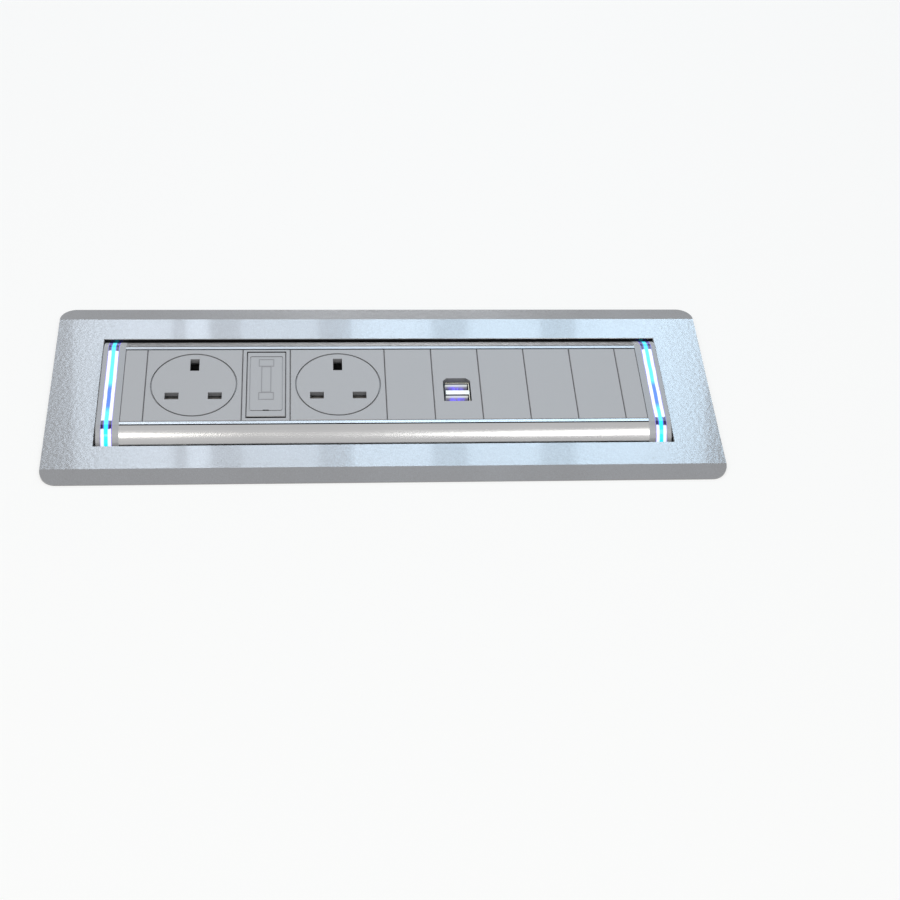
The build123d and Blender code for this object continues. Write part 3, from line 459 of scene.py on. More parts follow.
@dataclass(frozen=True)
class ZincPlate:
    """Zinc-plated sheet with a soft spangle and handling marks, and painted shade inside a half-depth, the
    base's underside included.
    """

    name: str = "zinc_plate"
    base: Colour = (0.42, 0.43, 0.44)
    bright: Colour = (0.60, 0.61, 0.62)
    # Painted shade for the sheet's inside.
    inside_shade: Colour = (0.02, 0.02, 0.022)
    inside_shade_y: float = 0.0
    inside_shade_edge: float = 0.6 * MM
    spangle: float = 120.0

    def make(self) -> Material:
        """Makes the finish's material.

        Returns:
            The material.
        """
        shade = Shade(self.name)
        spangle = shade.node(
            "ShaderNodeTexVoronoi", {"feature": "F1"}, {"Vector": shade.place, "Scale": self.spangle}, "Color"
        )
        tone = shade.node("ShaderNodeSeparateColor", {}, {0: spangle}, 0)
        scratch = shade.noise((900.0, 900.0, 30.0), 2.0, 0.7).ramp(0.58, 0.8)
        cloud = shade.noise(25.0, 3.0)
        plated = shade.blend(tone * 0.45 + cloud * 0.35, self.base, self.bright)
        # Painted shade: nearer the middle than the half-depth, the sheet turns near black.
        inside = abs(shade.along(Axis.Y)).ramp(self.inside_shade_y - self.inside_shade_edge, self.inside_shade_y, 1.0, 0.0)
        return shade.finish(
            Base_Color=shade.blend(inside, plated, self.inside_shade),
            Metallic=0.9,
            Roughness=0.36 + tone * 0.1 + scratch * 0.1,
            Normal=shade.bump(cloud + scratch * 0.3, 0.03 * MM, 0.4),
        )


@dataclass(frozen=True)
class Moulding:
    """Moulded plastic with a fine spark-eroded texture, and painted shade on its upright walls where asked.
    """

    name: str
    base: Colour
    roughness: float = 0.5
    texture: float = 2600.0
    # Share of the colour that upright walls keep; below one, it paints shade there.
    wall: float = 1.0

    def make(self) -> Material:
        """Makes the finish's material.

        Returns:
            The material.
        """
        shade = Shade(self.name)
        grain = shade.noise(self.texture, 2.0, 0.6)
        cloud = shade.noise(45.0, 3.0)
        light = tuple(min(1.0, channel * 1.09) for channel in self.base)
        colour = shade.blend(cloud * 0.7 + (grain - 0.5) * 0.5, self.base, light)
        # Painted shade on upright walls, those of gaps and recesses among them.
        if self.wall < 1.0:
            normal = shade.node("ShaderNodeTexCoord", out="Normal")
            upright = 1.0 - shade.node("ShaderNodeSeparateXYZ", {}, {0: normal}, "Z").ramp(0.2, 0.6)
            colour = shade.blend(upright, colour, tuple(channel * self.wall for channel in self.base))
        return shade.finish(
            Base_Color=colour,
            Roughness=self.roughness + cloud * 0.08 + (grain - 0.5) * 0.1,
            Normal=shade.bump(grain, GRAIN_DEPTH, 0.5),
        )


@dataclass(frozen=True)
class LitAcrylic:
    """Clear acrylic ring, lit from inside, all of it painted as glow: a blue line between painted white
    reflections at its sides, painted dark marks at its corners, and violet fringes.
    """

    name: str
    middle: float
    half_width: float
    # All these colours are given off as painted glow: line and cyan stand for the inner light, side and rear
    # are painted reflections, corner and violet make painted dark reflection marks.
    line: Colour = (0.01, 0.13, 1.0)
    cyan: Colour = (0.02, 0.85, 1.0)
    side: Colour = (0.90, 0.92, 1.0)
    fringe: Colour = (0.16, 0.10, 0.85)
    corner: Colour = (0.008, 0.005, 0.015)
    violet: Colour = (0.10, 0.03, 0.60)
    rear: Colour = (0.05, 0.04, 0.30)
    corner_y: float = 27.4 * MM
    corner_half: float = 2.8 * MM
    blue_y: float = 9.0 * MM
    blue_half: float = 12.0 * MM
    clear: Colour = (0.01, 0.01, 0.015)
    glow: float = 0.95

    def make(self) -> Material:
        """Makes the finish's material.

        Returns:
            The material.
        """
        shade = Shade(self.name)
        wobble = (shade.noise(90.0, 2.0) - 0.5) * (0.6 * MM)
        offset = abs(shade.along(Axis.X) - self.middle + wobble) / self.half_width
        drift = (shade.noise((0.0, 60.0, 60.0), 2.0) - 0.5) * (12.0 * MM)
        blue = 1.0 - (abs(shade.along(Axis.Y) + self.blue_y + drift) / self.blue_half).ramp(0.45, 1.0)
        core = shade.blend(blue, self.cyan, self.line)
        torn = (shade.noise(700.0, 2.0) - 0.5) * (1.6 * MM)
        # Painted reflection: dark marks at the corners, and a darker blue-violet towards the rear.
        from_corner = abs(abs(shade.along(Axis.Y) + torn) - self.corner_y) / self.corner_half
        corner = 1.0 - from_corner.ramp(0.75, 1.05)
        rear = shade.along(Axis.Y).ramp(self.corner_y, self.corner_y + 1.5 * MM)
        mark = shade.blend(offset.ramp(0.45, 0.62), self.violet, self.corner)
        side = shade.blend(corner, shade.blend(rear, self.side, self.rear), mark)
        sides = shade.blend(offset.ramp(0.28, 0.42), core, side)
        colour = shade.blend(offset.ramp(0.86, 0.98), sides, self.fringe)
        # Painted glow: the ring gives off its whole colour as light.
        return shade.finish(
            Base_Color=shade.blend(0.85, colour, self.clear),
            Roughness=0.06,
            IOR=1.49,
            Transmission_Weight=0.1,
            Specular_IOR_Level=0.3,
            Emission_Color=colour,
            Emission_Strength=self.glow,
            Normal=shade.bump(shade.noise(150.0, 1.0), 0.1 * MM, 0.15),
        )


@dataclass(frozen=True)
class Glow:
    """A surface that gives its own light."""

    name: str
    colour: Colour
    strength: float

    def make(self) -> Material:
        """Makes the finish's material.

        Returns:
            The material.
        """
        shade = Shade(self.name)
        dots = shade.noise(200.0, 2.0)
        paler = tuple(min(1.0, channel + 0.25) for channel in self.colour)
        return shade.finish(
            Base_Color=self.colour,
            Roughness=0.4,
            Emission_Color=shade.blend(dots, self.colour, paler),
            Emission_Strength=self.strength,
        )


@dataclass(frozen=True)
class PortShell:
    """Plated shells of the charging ports: painted highlights on the rims and the bridge, painted shade at
    the mouths' ends and inside them, and painted glow on the walls inside.
    """

    name: str = "port_nickel"
    # Painted highlights: the rim and the bridge between the mouths.
    rim: Colour = (0.96, 0.88, 0.72)
    bridge_highlight: Colour = (0.84, 0.84, 0.80)
    wall: Colour = (0.40, 0.42, 0.40)
    # Painted glow inside the mouths, and near-black painted shade.
    lit: Colour = (0.52, 0.55, 0.52)
    port_shade: Colour = (0.012, 0.012, 0.016)
    mouth_half: float = 5.75 * MM
    bridge_y: float = -5.15 * MM
    bridge_half: float = 1.5 * MM
    bridge_soft: float = 0.1 * MM
    top: float = 5.35 * MM
    lip: float = 0.95 * MM
    lip_fade: float = 0.35 * MM
    band: float = 2.6 * MM
    soft: float = 0.3 * MM
    glow_half: Pair = (3.2 * MM, 5.0 * MM)
    violet: Colour = (0.12, 0.09, 0.60)
    shaded: Colour = (0.17, 0.16, 0.20)

    def make(self) -> Material:
        """Makes the finish's material.

        Returns:
            The material.
        """
        shade = Shade(self.name)
        lines = shade.noise((2200.0, 2200.0, 80.0), 2.0, 0.6)
        offset = shade.along(Axis.X) - PORT_X
        # Painted shade: near black at the mouths' ends, on the face left of the mouths, and under the painted
        # glow below the lips.
        side = abs(offset).ramp(self.mouth_half, self.mouth_half + self.soft)
        depth = self.top - shade.along(Axis.Z)
        lip = depth.ramp(self.lip - 0.5 * self.soft, self.lip + self.lip_fade, 1.0, 0.0)
        inside = shade.blend(side, shade.blend(lip, self.wall, self.port_shade), self.port_shade)
        across = abs(shade.along(Axis.Y) - self.bridge_y)
        middle = across.ramp(self.bridge_half - self.bridge_soft, self.bridge_half, 1.0, 0.0)
        left = (0.0 - offset).ramp(self.mouth_half, self.mouth_half + self.soft)
        face = shade.blend(left, shade.blend(middle, self.rim, self.bridge_highlight), self.port_shade)
        # Painted glow: a lit band under the lip, with violet patches and shade deeper down, given off as
        # light.
        patches = shade.noise((520.0, 40.0, 40.0), 1.0).ramp(0.35, 0.6)
        low = shade.blend(patches * (1.0 - abs(offset).ramp(*self.glow_half)), self.shaded, self.violet)
        lit = shade.blend(depth.ramp(self.band - self.soft, self.band + self.soft), self.lit, low)
        below = depth.above(0.02 * MM)
        return shade.finish(
            Base_Color=shade.blend(below, face, inside),
            Metallic=0.15,
            Roughness=0.36 + lines * 0.1,
            Emission_Color=shade.blend(below * (1.0 - lip) * (1.0 - side), (0.0, 0.0, 0.0), lit),
            Emission_Strength=1.0,
            Normal=shade.bump(lines, GRAIN_DEPTH, 0.35),
        )


@dataclass(frozen=True)
class PortTongue:
    """Moulded tongue, with a painted glow towards its middle."""

    name: str = "port_tongue"
    base: Colour = (0.10, 0.09, 0.20)
    # Painted glow towards the middle, in patches.
    light: Colour = (0.13, 0.09, 0.95)
    unlit: Colour = (0.03, 0.03, 0.06)
    reach: float = 4.6 * MM
    fade: float = 1.6 * MM

    def make(self) -> Material:
        """Makes the finish's material.

        Returns:
            The material.
        """
        shade = Shade(self.name)
        patches = shade.noise((620.0, 60.0, 60.0), 1.0).ramp(0.35, 0.6, 0.35, 1.0)
        middle = abs(shade.along(Axis.X) - PORT_X).ramp(self.reach - self.fade, self.reach, 1.0, 0.0)
        # Painted glow: the tongue gives off light, most towards its middle.
        return shade.finish(
            Base_Color=self.base,
            Roughness=0.4,
            Emission_Color=shade.blend(middle * patches, self.unlit, self.light),
            Emission_Strength=0.95,
        )


@dataclass(frozen=True)
class CappedCeramic:
    """Ceramic fuse body between plated caps."""

    name: str = "capped_ceramic"
    body: Colour = (0.78, 0.75, 0.66)
    cap: Colour = (0.72, 0.70, 0.66)
    cap_start: float = 7.1 * MM

    def make(self) -> Material:
        """Makes the finish's material.

        Returns:
            The material.
        """
        shade = Shade(self.name)
        cap = abs(shade.along(Axis.Y)).above(self.cap_start)
        cloud = shade.noise(300.0, 2.0)
        return shade.finish(
            Base_Color=shade.blend(cap, self.body, self.cap),
            Metallic=cap,
            Roughness=0.3 + cloud * 0.15,
            Normal=shade.bump(cloud, 0.04 * MM, 0.4),
        )


@dataclass(frozen=True)
class CircuitBoard:
    """Solder-masked board, with darker parts standing on it."""

    name: str
    top: float
    mask: Colour = (0.012, 0.09, 0.045)
    part: Colour = (0.03, 0.03, 0.032)
    track: Colour = (0.05, 0.20, 0.10)

    def make(self) -> Material:
        """Makes the finish's material.

        Returns:
            The material.
        """
        shade = Shade(self.name)
        tracks = shade.node(
            "ShaderNodeTexBrick",
            {"offset": 0.5},
            {"Vector": shade.place, "Scale": 90.0, "Mortar Size": 0.05,
             "Color1": self.mask, "Color2": self.mask, "Mortar": self.track},
        )
        above = shade.along(Axis.Z).above(self.top)
        grain = shade.noise(1500.0, 2.0)
        return shade.finish(
            Base_Color=shade.blend(above, tracks, self.part),
            Roughness=0.32 + grain * 0.15,
            Normal=shade.bump(grain, GRAIN_DEPTH, 0.3),
        )


@dataclass
class Wardrobe:
    """Every CAD node's finish."""

    nodes: dict[str, Piece]
    made: dict[str, Material] = field(default_factory=dict)

    def choices(self) -> list[tuple[Finish, tuple[str, ...]]]:
        """Lists the finishes.

        Returns:
            Each finish, with the starts of the node names that take it.
        """
        return [
            (RimCoat(), ("bezel_frame",)),
            (SatinCoat("flange_coat", (0.33, 0.335, 0.35)), ("inner_flange", "outer_flange")),
            # One anodising on both rails: the rear copy's much darker tones are painted shade.
            (RailFinish("anodised_front", (0.39, 0.39, 0.395), (0.52, 0.52, 0.52), flat=(0.185, 0.185, 0.19),
                        roughness=0.21), ("rotor_rail_front",)),
            (RailFinish("anodised_rear_shaded", (0.16, 0.16, 0.165), (0.21, 0.21, 0.215), flat=(0.29, 0.29, 0.30),
                        groove=(0.30, 0.30, 0.305)), ("rotor_rail_rear",)),
            # These four greys are one plastic; they differ only in how much painted shade their upright walls
            # take.
            (Moulding("module_grey", MODULE_GREY, 0.46, wall=0.35),
             ("blank_module", "end_blank", "closing_panel")),
            (Moulding("socket_grey", MODULE_GREY, 0.46, wall=0.7), ("socket_plate",)),
            (Moulding("port_plate_grey", MODULE_GREY, 0.46, wall=0.5), ("usb_plate",)),
            (Moulding("drawer_grey", MODULE_GREY, 0.46, wall=0.08), ("fuse_frame", "fuse_carrier")),
            (LitAcrylic("acrylic_left", -RING_MIDDLE, RING_HALF), ("light_ring_left",)),
            (LitAcrylic("acrylic_right", RING_MIDDLE, RING_HALF), ("light_ring_right",)),
            (Glow("light_strip", (0.08, 0.45, 1.0), 3.0), ("led_strips",)),
            (Moulding("ring_core_white", (0.80, 0.81, 0.83), 0.4), ("ring_core",)),
            (ZincPlate("trough_zinc", inside_shade_y=TROUGH_WALL), ("housing_trough",)),
            (ZincPlate(), ("end_cover", "bearing_plate", "clamp_bracket")),
            (BrushedMetal("zinc_fixing", (0.50, 0.50, 0.51), (0.70, 0.70, 0.70), 0.3, (900.0, 900.0, 900.0)),
             ("frame_nuts", "housing_screws", "rotor_screws")),
            (Moulding("bush_black", (0.022, 0.022, 0.024), 0.35), ("shaft_bush",)),
            (Moulding("gear_acetal", (0.78, 0.76, 0.70), 0.32, 900.0), ("rotor_gear", "idler_gear")),
            (BrushedMetal("brass", (0.62, 0.42, 0.16), (0.80, 0.60, 0.28), 0.26, (1500.0, 1500.0, 1500.0)),
             ("motor_pinion", "socket_contacts", "fuse_clips", "inlet_pins")),
            (BrushedMetal("ground_steel", (0.42, 0.42, 0.43), (0.66, 0.66, 0.67), 0.22,
                          (900.0, 4000.0, 4000.0)),
             ("idler_axle", "gearmotor_shaft", "shutter_spring")),
            (BrushedMetal("motor_can", (0.36, 0.36, 0.37), (0.52, 0.52, 0.53), 0.28, (3000.0, 60.0, 60.0)),
             ("gearmotor",)),
            (Moulding("shutter_grey", (0.26, 0.25, 0.245), 0.42), ("shutter_left", "shutter_right")),
            (Moulding("deep_black", (0.015, 0.015, 0.016), 0.5),
             ("socket_back", "supply_inlet", "clamp_knob")),
            (CappedCeramic(), ("fuse_cartridge",)),
            (PortShell(), ("usb_ports",)),
            (PortTongue(), ("usb_tongues",)),
            (CircuitBoard("port_board", 1.0), ("usb_board",)),
            (CircuitBoard("control_board", -72.5 * MM), ("control_board",)),
            (SatinCoat("supply_black", (0.028, 0.028, 0.03), 0.38, 0.0), ("power_supply",)),
        ]

    def dress(self) -> None:
        """Gives every node its finish."""
        left = set(self.nodes)
        for finish, starts in self.choices():
            material = finish.make()
            for name in sorted(left):
                if name.startswith(starts):
                    for place in self.nodes[name].material_slots:
                        place.material = material
                    self.made[name] = material
                    left.discard(name)
        if left:
            raise ValueError(f"no finish for {sorted(left)}")
        LOG.info("dressed %d nodes", len(self.made))


def clear_selection() -> None:
    """Leaves nothing selected."""
    bpy.ops.object.select_all(action="DESELECT")


def started(name: str) -> Piece:
    """Names the piece that an operator has just added, and puts its object at the origin.

    Args:
        name: the piece's name.

    Returns:
        The piece.
    """
    piece = bpy.context.active_object
    piece.name = name
    apply_place()
    return piece


def apply_place() -> None:
    """Moves the active piece's place, turn and scale into its mesh."""
    bpy.ops.object.transform_apply(location=True, rotation=True, scale=True)


def open_mesh() -> None:
    """Opens the active piece's mesh with everything selected."""
    bpy.ops.object.mode_set(mode="EDIT")
    bpy.ops.mesh.select_all(action="SELECT")


def close_mesh() -> None:
    """Turns every face of the open mesh outwards, and closes it."""
    bpy.ops.mesh.select_all(action="SELECT")
    bpy.ops.mesh.normals_make_consistent(inside=False)
    bpy.ops.object.mode_set(mode="OBJECT")


def open_plate(name: str, size: Pair, place: Point) -> Piece:
    """Starts a piece as one flat rectangle, with its mesh open.

    Args:
        name: the piece's name.
        size: its length along X and Y.
        place: its middle.

    Returns:
        The piece.
    """
    clear_selection()
    bpy.ops.mesh.primitive_plane_add(size=1.0, location=place)
    bpy.context.active_object.scale = (*size, 1.0)
    piece = started(name)
    open_mesh()
    return piece


def grow(*steps: Pair) -> None:
    """Grows the selected faces of the open mesh along Z.

    Args:
        *steps: how far each step rises, and how much wider it ends.
    """
    for rise, scale in steps:
        bpy.ops.mesh.extrude_region_move(TRANSFORM_OT_translate={"value": (0.0, 0.0, rise)})
        if scale != 1.0:
            bpy.ops.transform.resize(value=(scale, scale, 1.0))


def settle(piece: Piece, body: Body, material: Material) -> None:
    """Puts a finished piece on its body.

    Args:
        piece: the piece, in place in the shared frame.
        body: what it moves with.
        material: its finish.
    """
    clear_selection()
    piece.select_set(True)
    bpy.context.view_layer.objects.active = piece
    apply_place()
    piece.data.materials.clear()
    piece.data.materials.append(material)
    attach(piece, body.value)
    LOG.info("built %s", piece.name)


@dataclass
class FusePictogram:
    """The outlined fuse on the drawer's face: two caps and a tube, as raised lines."""

    centre_x: float = -62.5 * MM
    cap_size: Pair = (8.0 * MM, 5.2 * MM)
    cap_places: Pair = (15.55 * MM, -8.35 * MM)
    tube_size: Pair = (5.2 * MM, 18.7 * MM)
    tube_place: float = 3.6 * MM
    line: float = 0.4 * MM
    rise: float = 0.14 * MM

    def outline(self, name: str, y: float, size: Pair) -> Piece:
        """One rectangle of raised line.

        Args:
            name: the piece's name.
            y: the rectangle's middle.
            size: its length along X and Y.

        Returns:
            The outline.
        """
        piece = open_plate(name, size, (self.centre_x, y, MODULE_TOP))
        bpy.ops.mesh.inset(thickness=self.line)
        bpy.ops.mesh.delete(type="FACE")
        bpy.ops.mesh.select_all(action="SELECT")
        grow((self.rise, 1.0))
        close_mesh()
        return piece

    def build(self, material: Material) -> None:
        """Builds the three outlines as one piece.

        Args:
            material: the drawer's plastic.
        """
        parts = [
            self.outline("fuse_pictogram", self.tube_place, self.tube_size),
            self.outline("fuse_cap_rear", self.cap_places[0], self.cap_size),
            self.outline("fuse_cap_front", self.cap_places[1], self.cap_size),
        ]
        settle(joined("fuse_pictogram", parts), Body.DRAWER, material)


def turned(name: str, profile: tuple[Pair, ...], sides: int = 32) -> Piece:
    """A closed turned or prismatic piece about Z.

    Args:
        name: the piece's name.
        profile: radius and height pairs from the bottom up.
        sides: how many sides it has.

    Returns:
        The piece.
    """
    clear_selection()
    radius, bottom = profile[0]
    bpy.ops.mesh.primitive_circle_add(
        vertices=sides, radius=radius, fill_type="NGON", location=(0.0, 0.0, bottom)
    )
    piece = started(name)
    open_mesh()
    for (before, low), (after, high) in zip(profile, profile[1:]):
        grow((high - low, after / before))
    close_mesh()
    return piece


def cut(piece: Piece, tool: Piece) -> None:
    """Takes a tool's shape out of a piece, and removes the tool.

    Args:
        piece: what is cut.
        tool: the shape to take out.
    """
    clear_selection()
    piece.select_set(True)
    bpy.context.view_layer.objects.active = piece
    taken = piece.modifiers.new("cut", "BOOLEAN")
    taken.operation = "DIFFERENCE"
    taken.solver = "EXACT"
    taken.object = tool
    bpy.ops.object.modifier_apply(modifier=taken.name)
    bpy.data.objects.remove(tool, do_unlink=True)


def copies(model: Piece, places: list[Matrix]) -> list[Piece]:
    """Copies of a piece, each with its own mesh.

    Args:
        model: the piece to copy; it is the first of them.
        places: where they go.

    Returns:
        The pieces.
    """
    pieces = [model]
    for _ in places[1:]:
        twin = model.copy()
        twin.data = model.data.copy()
        bpy.context.collection.objects.link(twin)
        pieces.append(twin)
    for piece, place in zip(pieces, places):
        piece.matrix_world = place
    return pieces


def joined(name: str, pieces: list[Piece]) -> Piece:
    """Joins pieces into one.

    Args:
        name: the joined piece's name.
        pieces: the pieces.

    Returns:
        The joined piece.
    """
    clear_selection()
    for piece in pieces:
        piece.select_set(True)
    bpy.context.view_layer.objects.active = pieces[0]
    bpy.ops.object.join()
    pieces[0].name = name
    return pieces[0]


def facing(x: float, y: float, z: float, direction: Point) -> Matrix:
    """A place whose Z axis faces a direction.

    Args:
        x: the place's X.
        y: its Y.
        z: its Z.
        direction: where its Z axis points.

    Returns:
        The place.
    """
    turn = Vector(direction).to_track_quat("Z", "X").to_matrix().to_4x4()
    return Matrix.Translation(Vector((x, y, z))) @ turn


@dataclass
class CrossScrews:
    """Pan-head screws with cross recesses: through the trough's sides, and the gearmotor's two."""

    wall_y: float = 44.952 * MM
    side_head: Pair = (2.75 * MM, 1.8 * MM)
    side_shank: Pair = (1.25 * MM, 6.0 * MM)
    side_places: tuple[Pair, ...] = (
        (-152.4 * MM, -12.0 * MM), (-152.4 * MM, -53.143 * MM), (-160.4 * MM, -21.0 * MM),
        (152.4 * MM, -12.0 * MM), (152.4 * MM, -53.143 * MM), (160.4 * MM, -21.0 * MM),
    )
    motor_head: Pair = (2.8 * MM, 1.5 * MM)
    motor_shank: Pair = (1.5 * MM, 6.5 * MM)
    motor_place: Pair = (152.9 * MM, 31.202 * MM)
    motor_heights: Pair = (-54.943 * MM, -71.943 * MM)
    # Shares of the head's radius and height: its outline from the edge up, and the recess bar's sides.
    outline: tuple[Pair, ...] = ((1.0, 0.45), (0.94, 0.72), (0.8, 0.9), (0.55, 1.0))
    recess: Point = (1.15, 0.26, 1.1)
    # Share of the shank's radius at its tip.
    tip: float = 0.6

    def model(self, name: str, head: Pair, shank: Pair) -> Piece:
        """One screw, its head standing on the XY plane.

        Args:
            name: the screw's name.
            head: the head's radius and height.
            shank: the shank's radius and length.

        Returns:
            The screw.
        """
        radius, height = head
        thin, length = shank
        long, wide, deep = self.recess
        screw = turned(name, (
            (thin * self.tip, -length),
            (thin, -length + thin * self.tip),
            (thin, 0.0),
            (radius, 0.0),
            *((radius * out, height * up) for out, up in self.outline),
        ))
        for turn in (0.0, math.pi / 2):
            clear_selection()
            bpy.ops.mesh.primitive_cube_add(size=1.0, location=(0.0, 0.0, height), rotation=(0.0, 0.0, turn))
            bpy.context.active_object.scale = (radius * long, radius * wide, height * deep)
            cut(screw, started("recess_bar"))
        return screw

    def build(self, material: Material) -> None:
        """Builds every screw as one piece.

        Args:
            material: the zinc plate.
        """
        side = self.model("housing_screws_cross", self.side_head, self.side_shank)
        places = [
            facing(x, direction * self.wall_y, z, (0.0, direction, 0.0))
            for direction in (-1, 1) for x, z in self.side_places
        ]
        motor = self.model("motor_screw", self.motor_head, self.motor_shank)
        motor_places = [facing(*self.motor_place, z, (1.0, 0.0, 0.0)) for z in self.motor_heights]
        piece = joined("housing_screws_cross", copies(side, places) + copies(motor, motor_places))
        settle(piece, Body.HOUSING, material)
        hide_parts("housing_screws")


@dataclass
class FlangeNuts:
    """Hexagon nuts on washers, on the rim's studs."""

    stud_x: tuple[float, ...] = (-138.0 * MM, -46.0 * MM, 46.0 * MM, 138.0 * MM)
    stud_y: float = 49.702 * MM
    top: float = -1.5 * MM
    washer: Pair = (4.5 * MM, 0.8 * MM)
    flats: float = 7.0 * MM
    height: float = 2.4 * MM
    bore: float = 2.02 * MM
    gap: float = 0.01 * MM
    # Shares of the radius and of the height or thickness, at the nut's chamfer and the washer's edges.
    chamfer: Pair = (0.88, 0.85)
    lower_edge: Pair = (0.94, 0.3)
    upper_edge: Pair = (0.97, 0.2)

    def build(self, material: Material) -> None:
        """Builds every nut as one piece.

        Args:
            material: the zinc plate.
        """
        radius = self.flats / math.sqrt(3.0)
        edge, thick = self.washer
        seat = self.top - thick
        nut = turned("frame_nuts_flanged", (
            (radius * self.chamfer[0], seat - self.height),
            (radius, seat - self.height * self.chamfer[1]),
            (radius, seat - self.gap),
        ), 6)
        disc = turned("nut_washer", (
            (edge * self.lower_edge[0], seat),
            (edge, seat + thick * self.lower_edge[1]),
            (edge, self.top - thick * self.upper_edge[1]),
            (edge * self.upper_edge[0], self.top),
        ))
        for part in (nut, disc):
            cut(part, turned("nut_bore", ((self.bore, seat - 2 * self.height), (self.bore, thick)), 24))
        model = joined("frame_nuts_flanged", [nut, disc])
        places = [Matrix.Translation((x, side * self.stud_y, 0.0)) for side in (-1, 1) for x in self.stud_x]
        piece = joined("frame_nuts_flanged", copies(model, places))
        settle(piece, Body.HOUSING, material)
        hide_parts("frame_nuts")


@dataclass
class TroughBeads:
    """Long beads pressed into the trough's walls, either side of the vents."""

    wall_y: float = 44.932 * MM
    places: tuple[Pair, ...] = (
        (-66.0 * MM, -30.0 * MM), (-66.0 * MM, -58.0 * MM), (80.0 * MM, -30.0 * MM), (80.0 * MM, -58.0 * MM),
    )
    half_length: float = 25.0 * MM
    radius: float = 3.0 * MM
    rise: float = 0.7 * MM
    sides: int = 32
    # The upright edge's share of the rise, then each step's share of the radius inwards and of the rise.
    edge: float = 0.4
    steps: tuple[Pair, ...] = ((0.14, 0.3), (0.2, 0.2), (0.26, 0.1))

    def model(self) -> Piece:
        """One bead, standing on the XY plane.

        Returns:
            The bead.
        """
        clear_selection()
        bpy.ops.mesh.primitive_circle_add(
            vertices=self.sides, radius=self.radius, fill_type="NGON",
            rotation=(0.0, 0.0, math.pi / self.sides),
        )
        bead = started("trough_beads")
        for vertex in bead.data.vertices:
            vertex.co.x += math.copysign(self.half_length, vertex.co.x)
        open_mesh()
        grow((self.rise * self.edge, 1.0))
        for inset, rise in self.steps:
            bpy.ops.mesh.inset(thickness=self.radius * inset)
            bpy.ops.transform.translate(value=(0.0, 0.0, self.rise * rise))
        close_mesh()
        return bead

    def build(self, material: Material) -> None:
        """Builds every bead as one piece.

        Args:
            material: the trough's sheet.
        """
        places = [
            facing(x, side * self.wall_y, z, (0.0, side, 0.0)) @ Matrix.Rotation(math.pi / 2, 4, "Z")
            for side in (-1, 1) for x, z in self.places
        ]
        piece = joined("trough_beads", copies(self.model(), places))
        settle(piece, Body.HOUSING, material)


@dataclass
class SealCord:
    """Round seal in the groove under the rim."""

    length: float = 336.4 * MM
    depth: float = 112.4 * MM
    corner: float = 2.5 * MM
    radius: float = 0.28 * MM
    height: float = 0.3 * MM
    corner_segments: int = 6
    rounding: int = 2

    def build(self, material: Material) -> None:
        """Builds the seal.

        Args:
            material: the seal's rubber.
        """
        seal = open_plate("rim_seal", (self.length, self.depth), (0.0, 0.0, self.height))
        bpy.ops.mesh.bevel(offset=self.corner, segments=self.corner_segments, affect="VERTICES")
        bpy.ops.mesh.select_all(action="SELECT")
        bpy.ops.mesh.delete(type="ONLY_FACE")
        bpy.ops.object.mode_set(mode="OBJECT")
        bpy.ops.object.convert(target="CURVE")
        seal.data.bevel_depth = self.radius
        seal.data.bevel_resolution = self.rounding
        bpy.ops.object.convert(target="MESH")
        settle(bpy.context.active_object, Body.HOUSING, material)


@dataclass
class PortContacts:
    """Four sprung contacts on each charging port's tongue."""

    offsets: tuple[float, ...] = (-3.5 * MM, -1.0 * MM, 1.0 * MM, 3.5 * MM)
    faces_y: Pair = (-1.07 * MM, -9.07 * MM)
    bottom: float = -5.0 * MM
    length: float = 6.4 * MM
    width: float = 1.0 * MM
    thickness: float = 0.16 * MM
    sunk: float = 0.01 * MM
    # Each step's share of the thickness, and how wide it ends.
    steps: tuple[Pair, ...] = ((0.6, 1.0), (0.4, 0.86))

    def model(self) -> Piece:
        """One contact, lying on the XY plane along Y, narrower at its face.

        Returns:
            The contact.
        """
        contact = open_plate("port_contacts", (self.width, self.length), (0.0, self.length / 2, 0.0))
        grow(*((self.thickness * share, width) for share, width in self.steps))
        close_mesh()
        return contact

    def build(self, material: Material) -> None:
        """Builds the eight contacts as one piece.

        Args:
            material: the brass.
        """
        stand = Matrix.Rotation(math.pi / 2, 4, "X")
        places = [
            Matrix.Translation((PORT_X + offset, y + self.sunk, self.bottom)) @ stand
            for y in self.faces_y for offset in self.offsets
        ]
        piece = joined("port_contacts", copies(self.model(), places))
        settle(piece, Body.ROTOR, material)


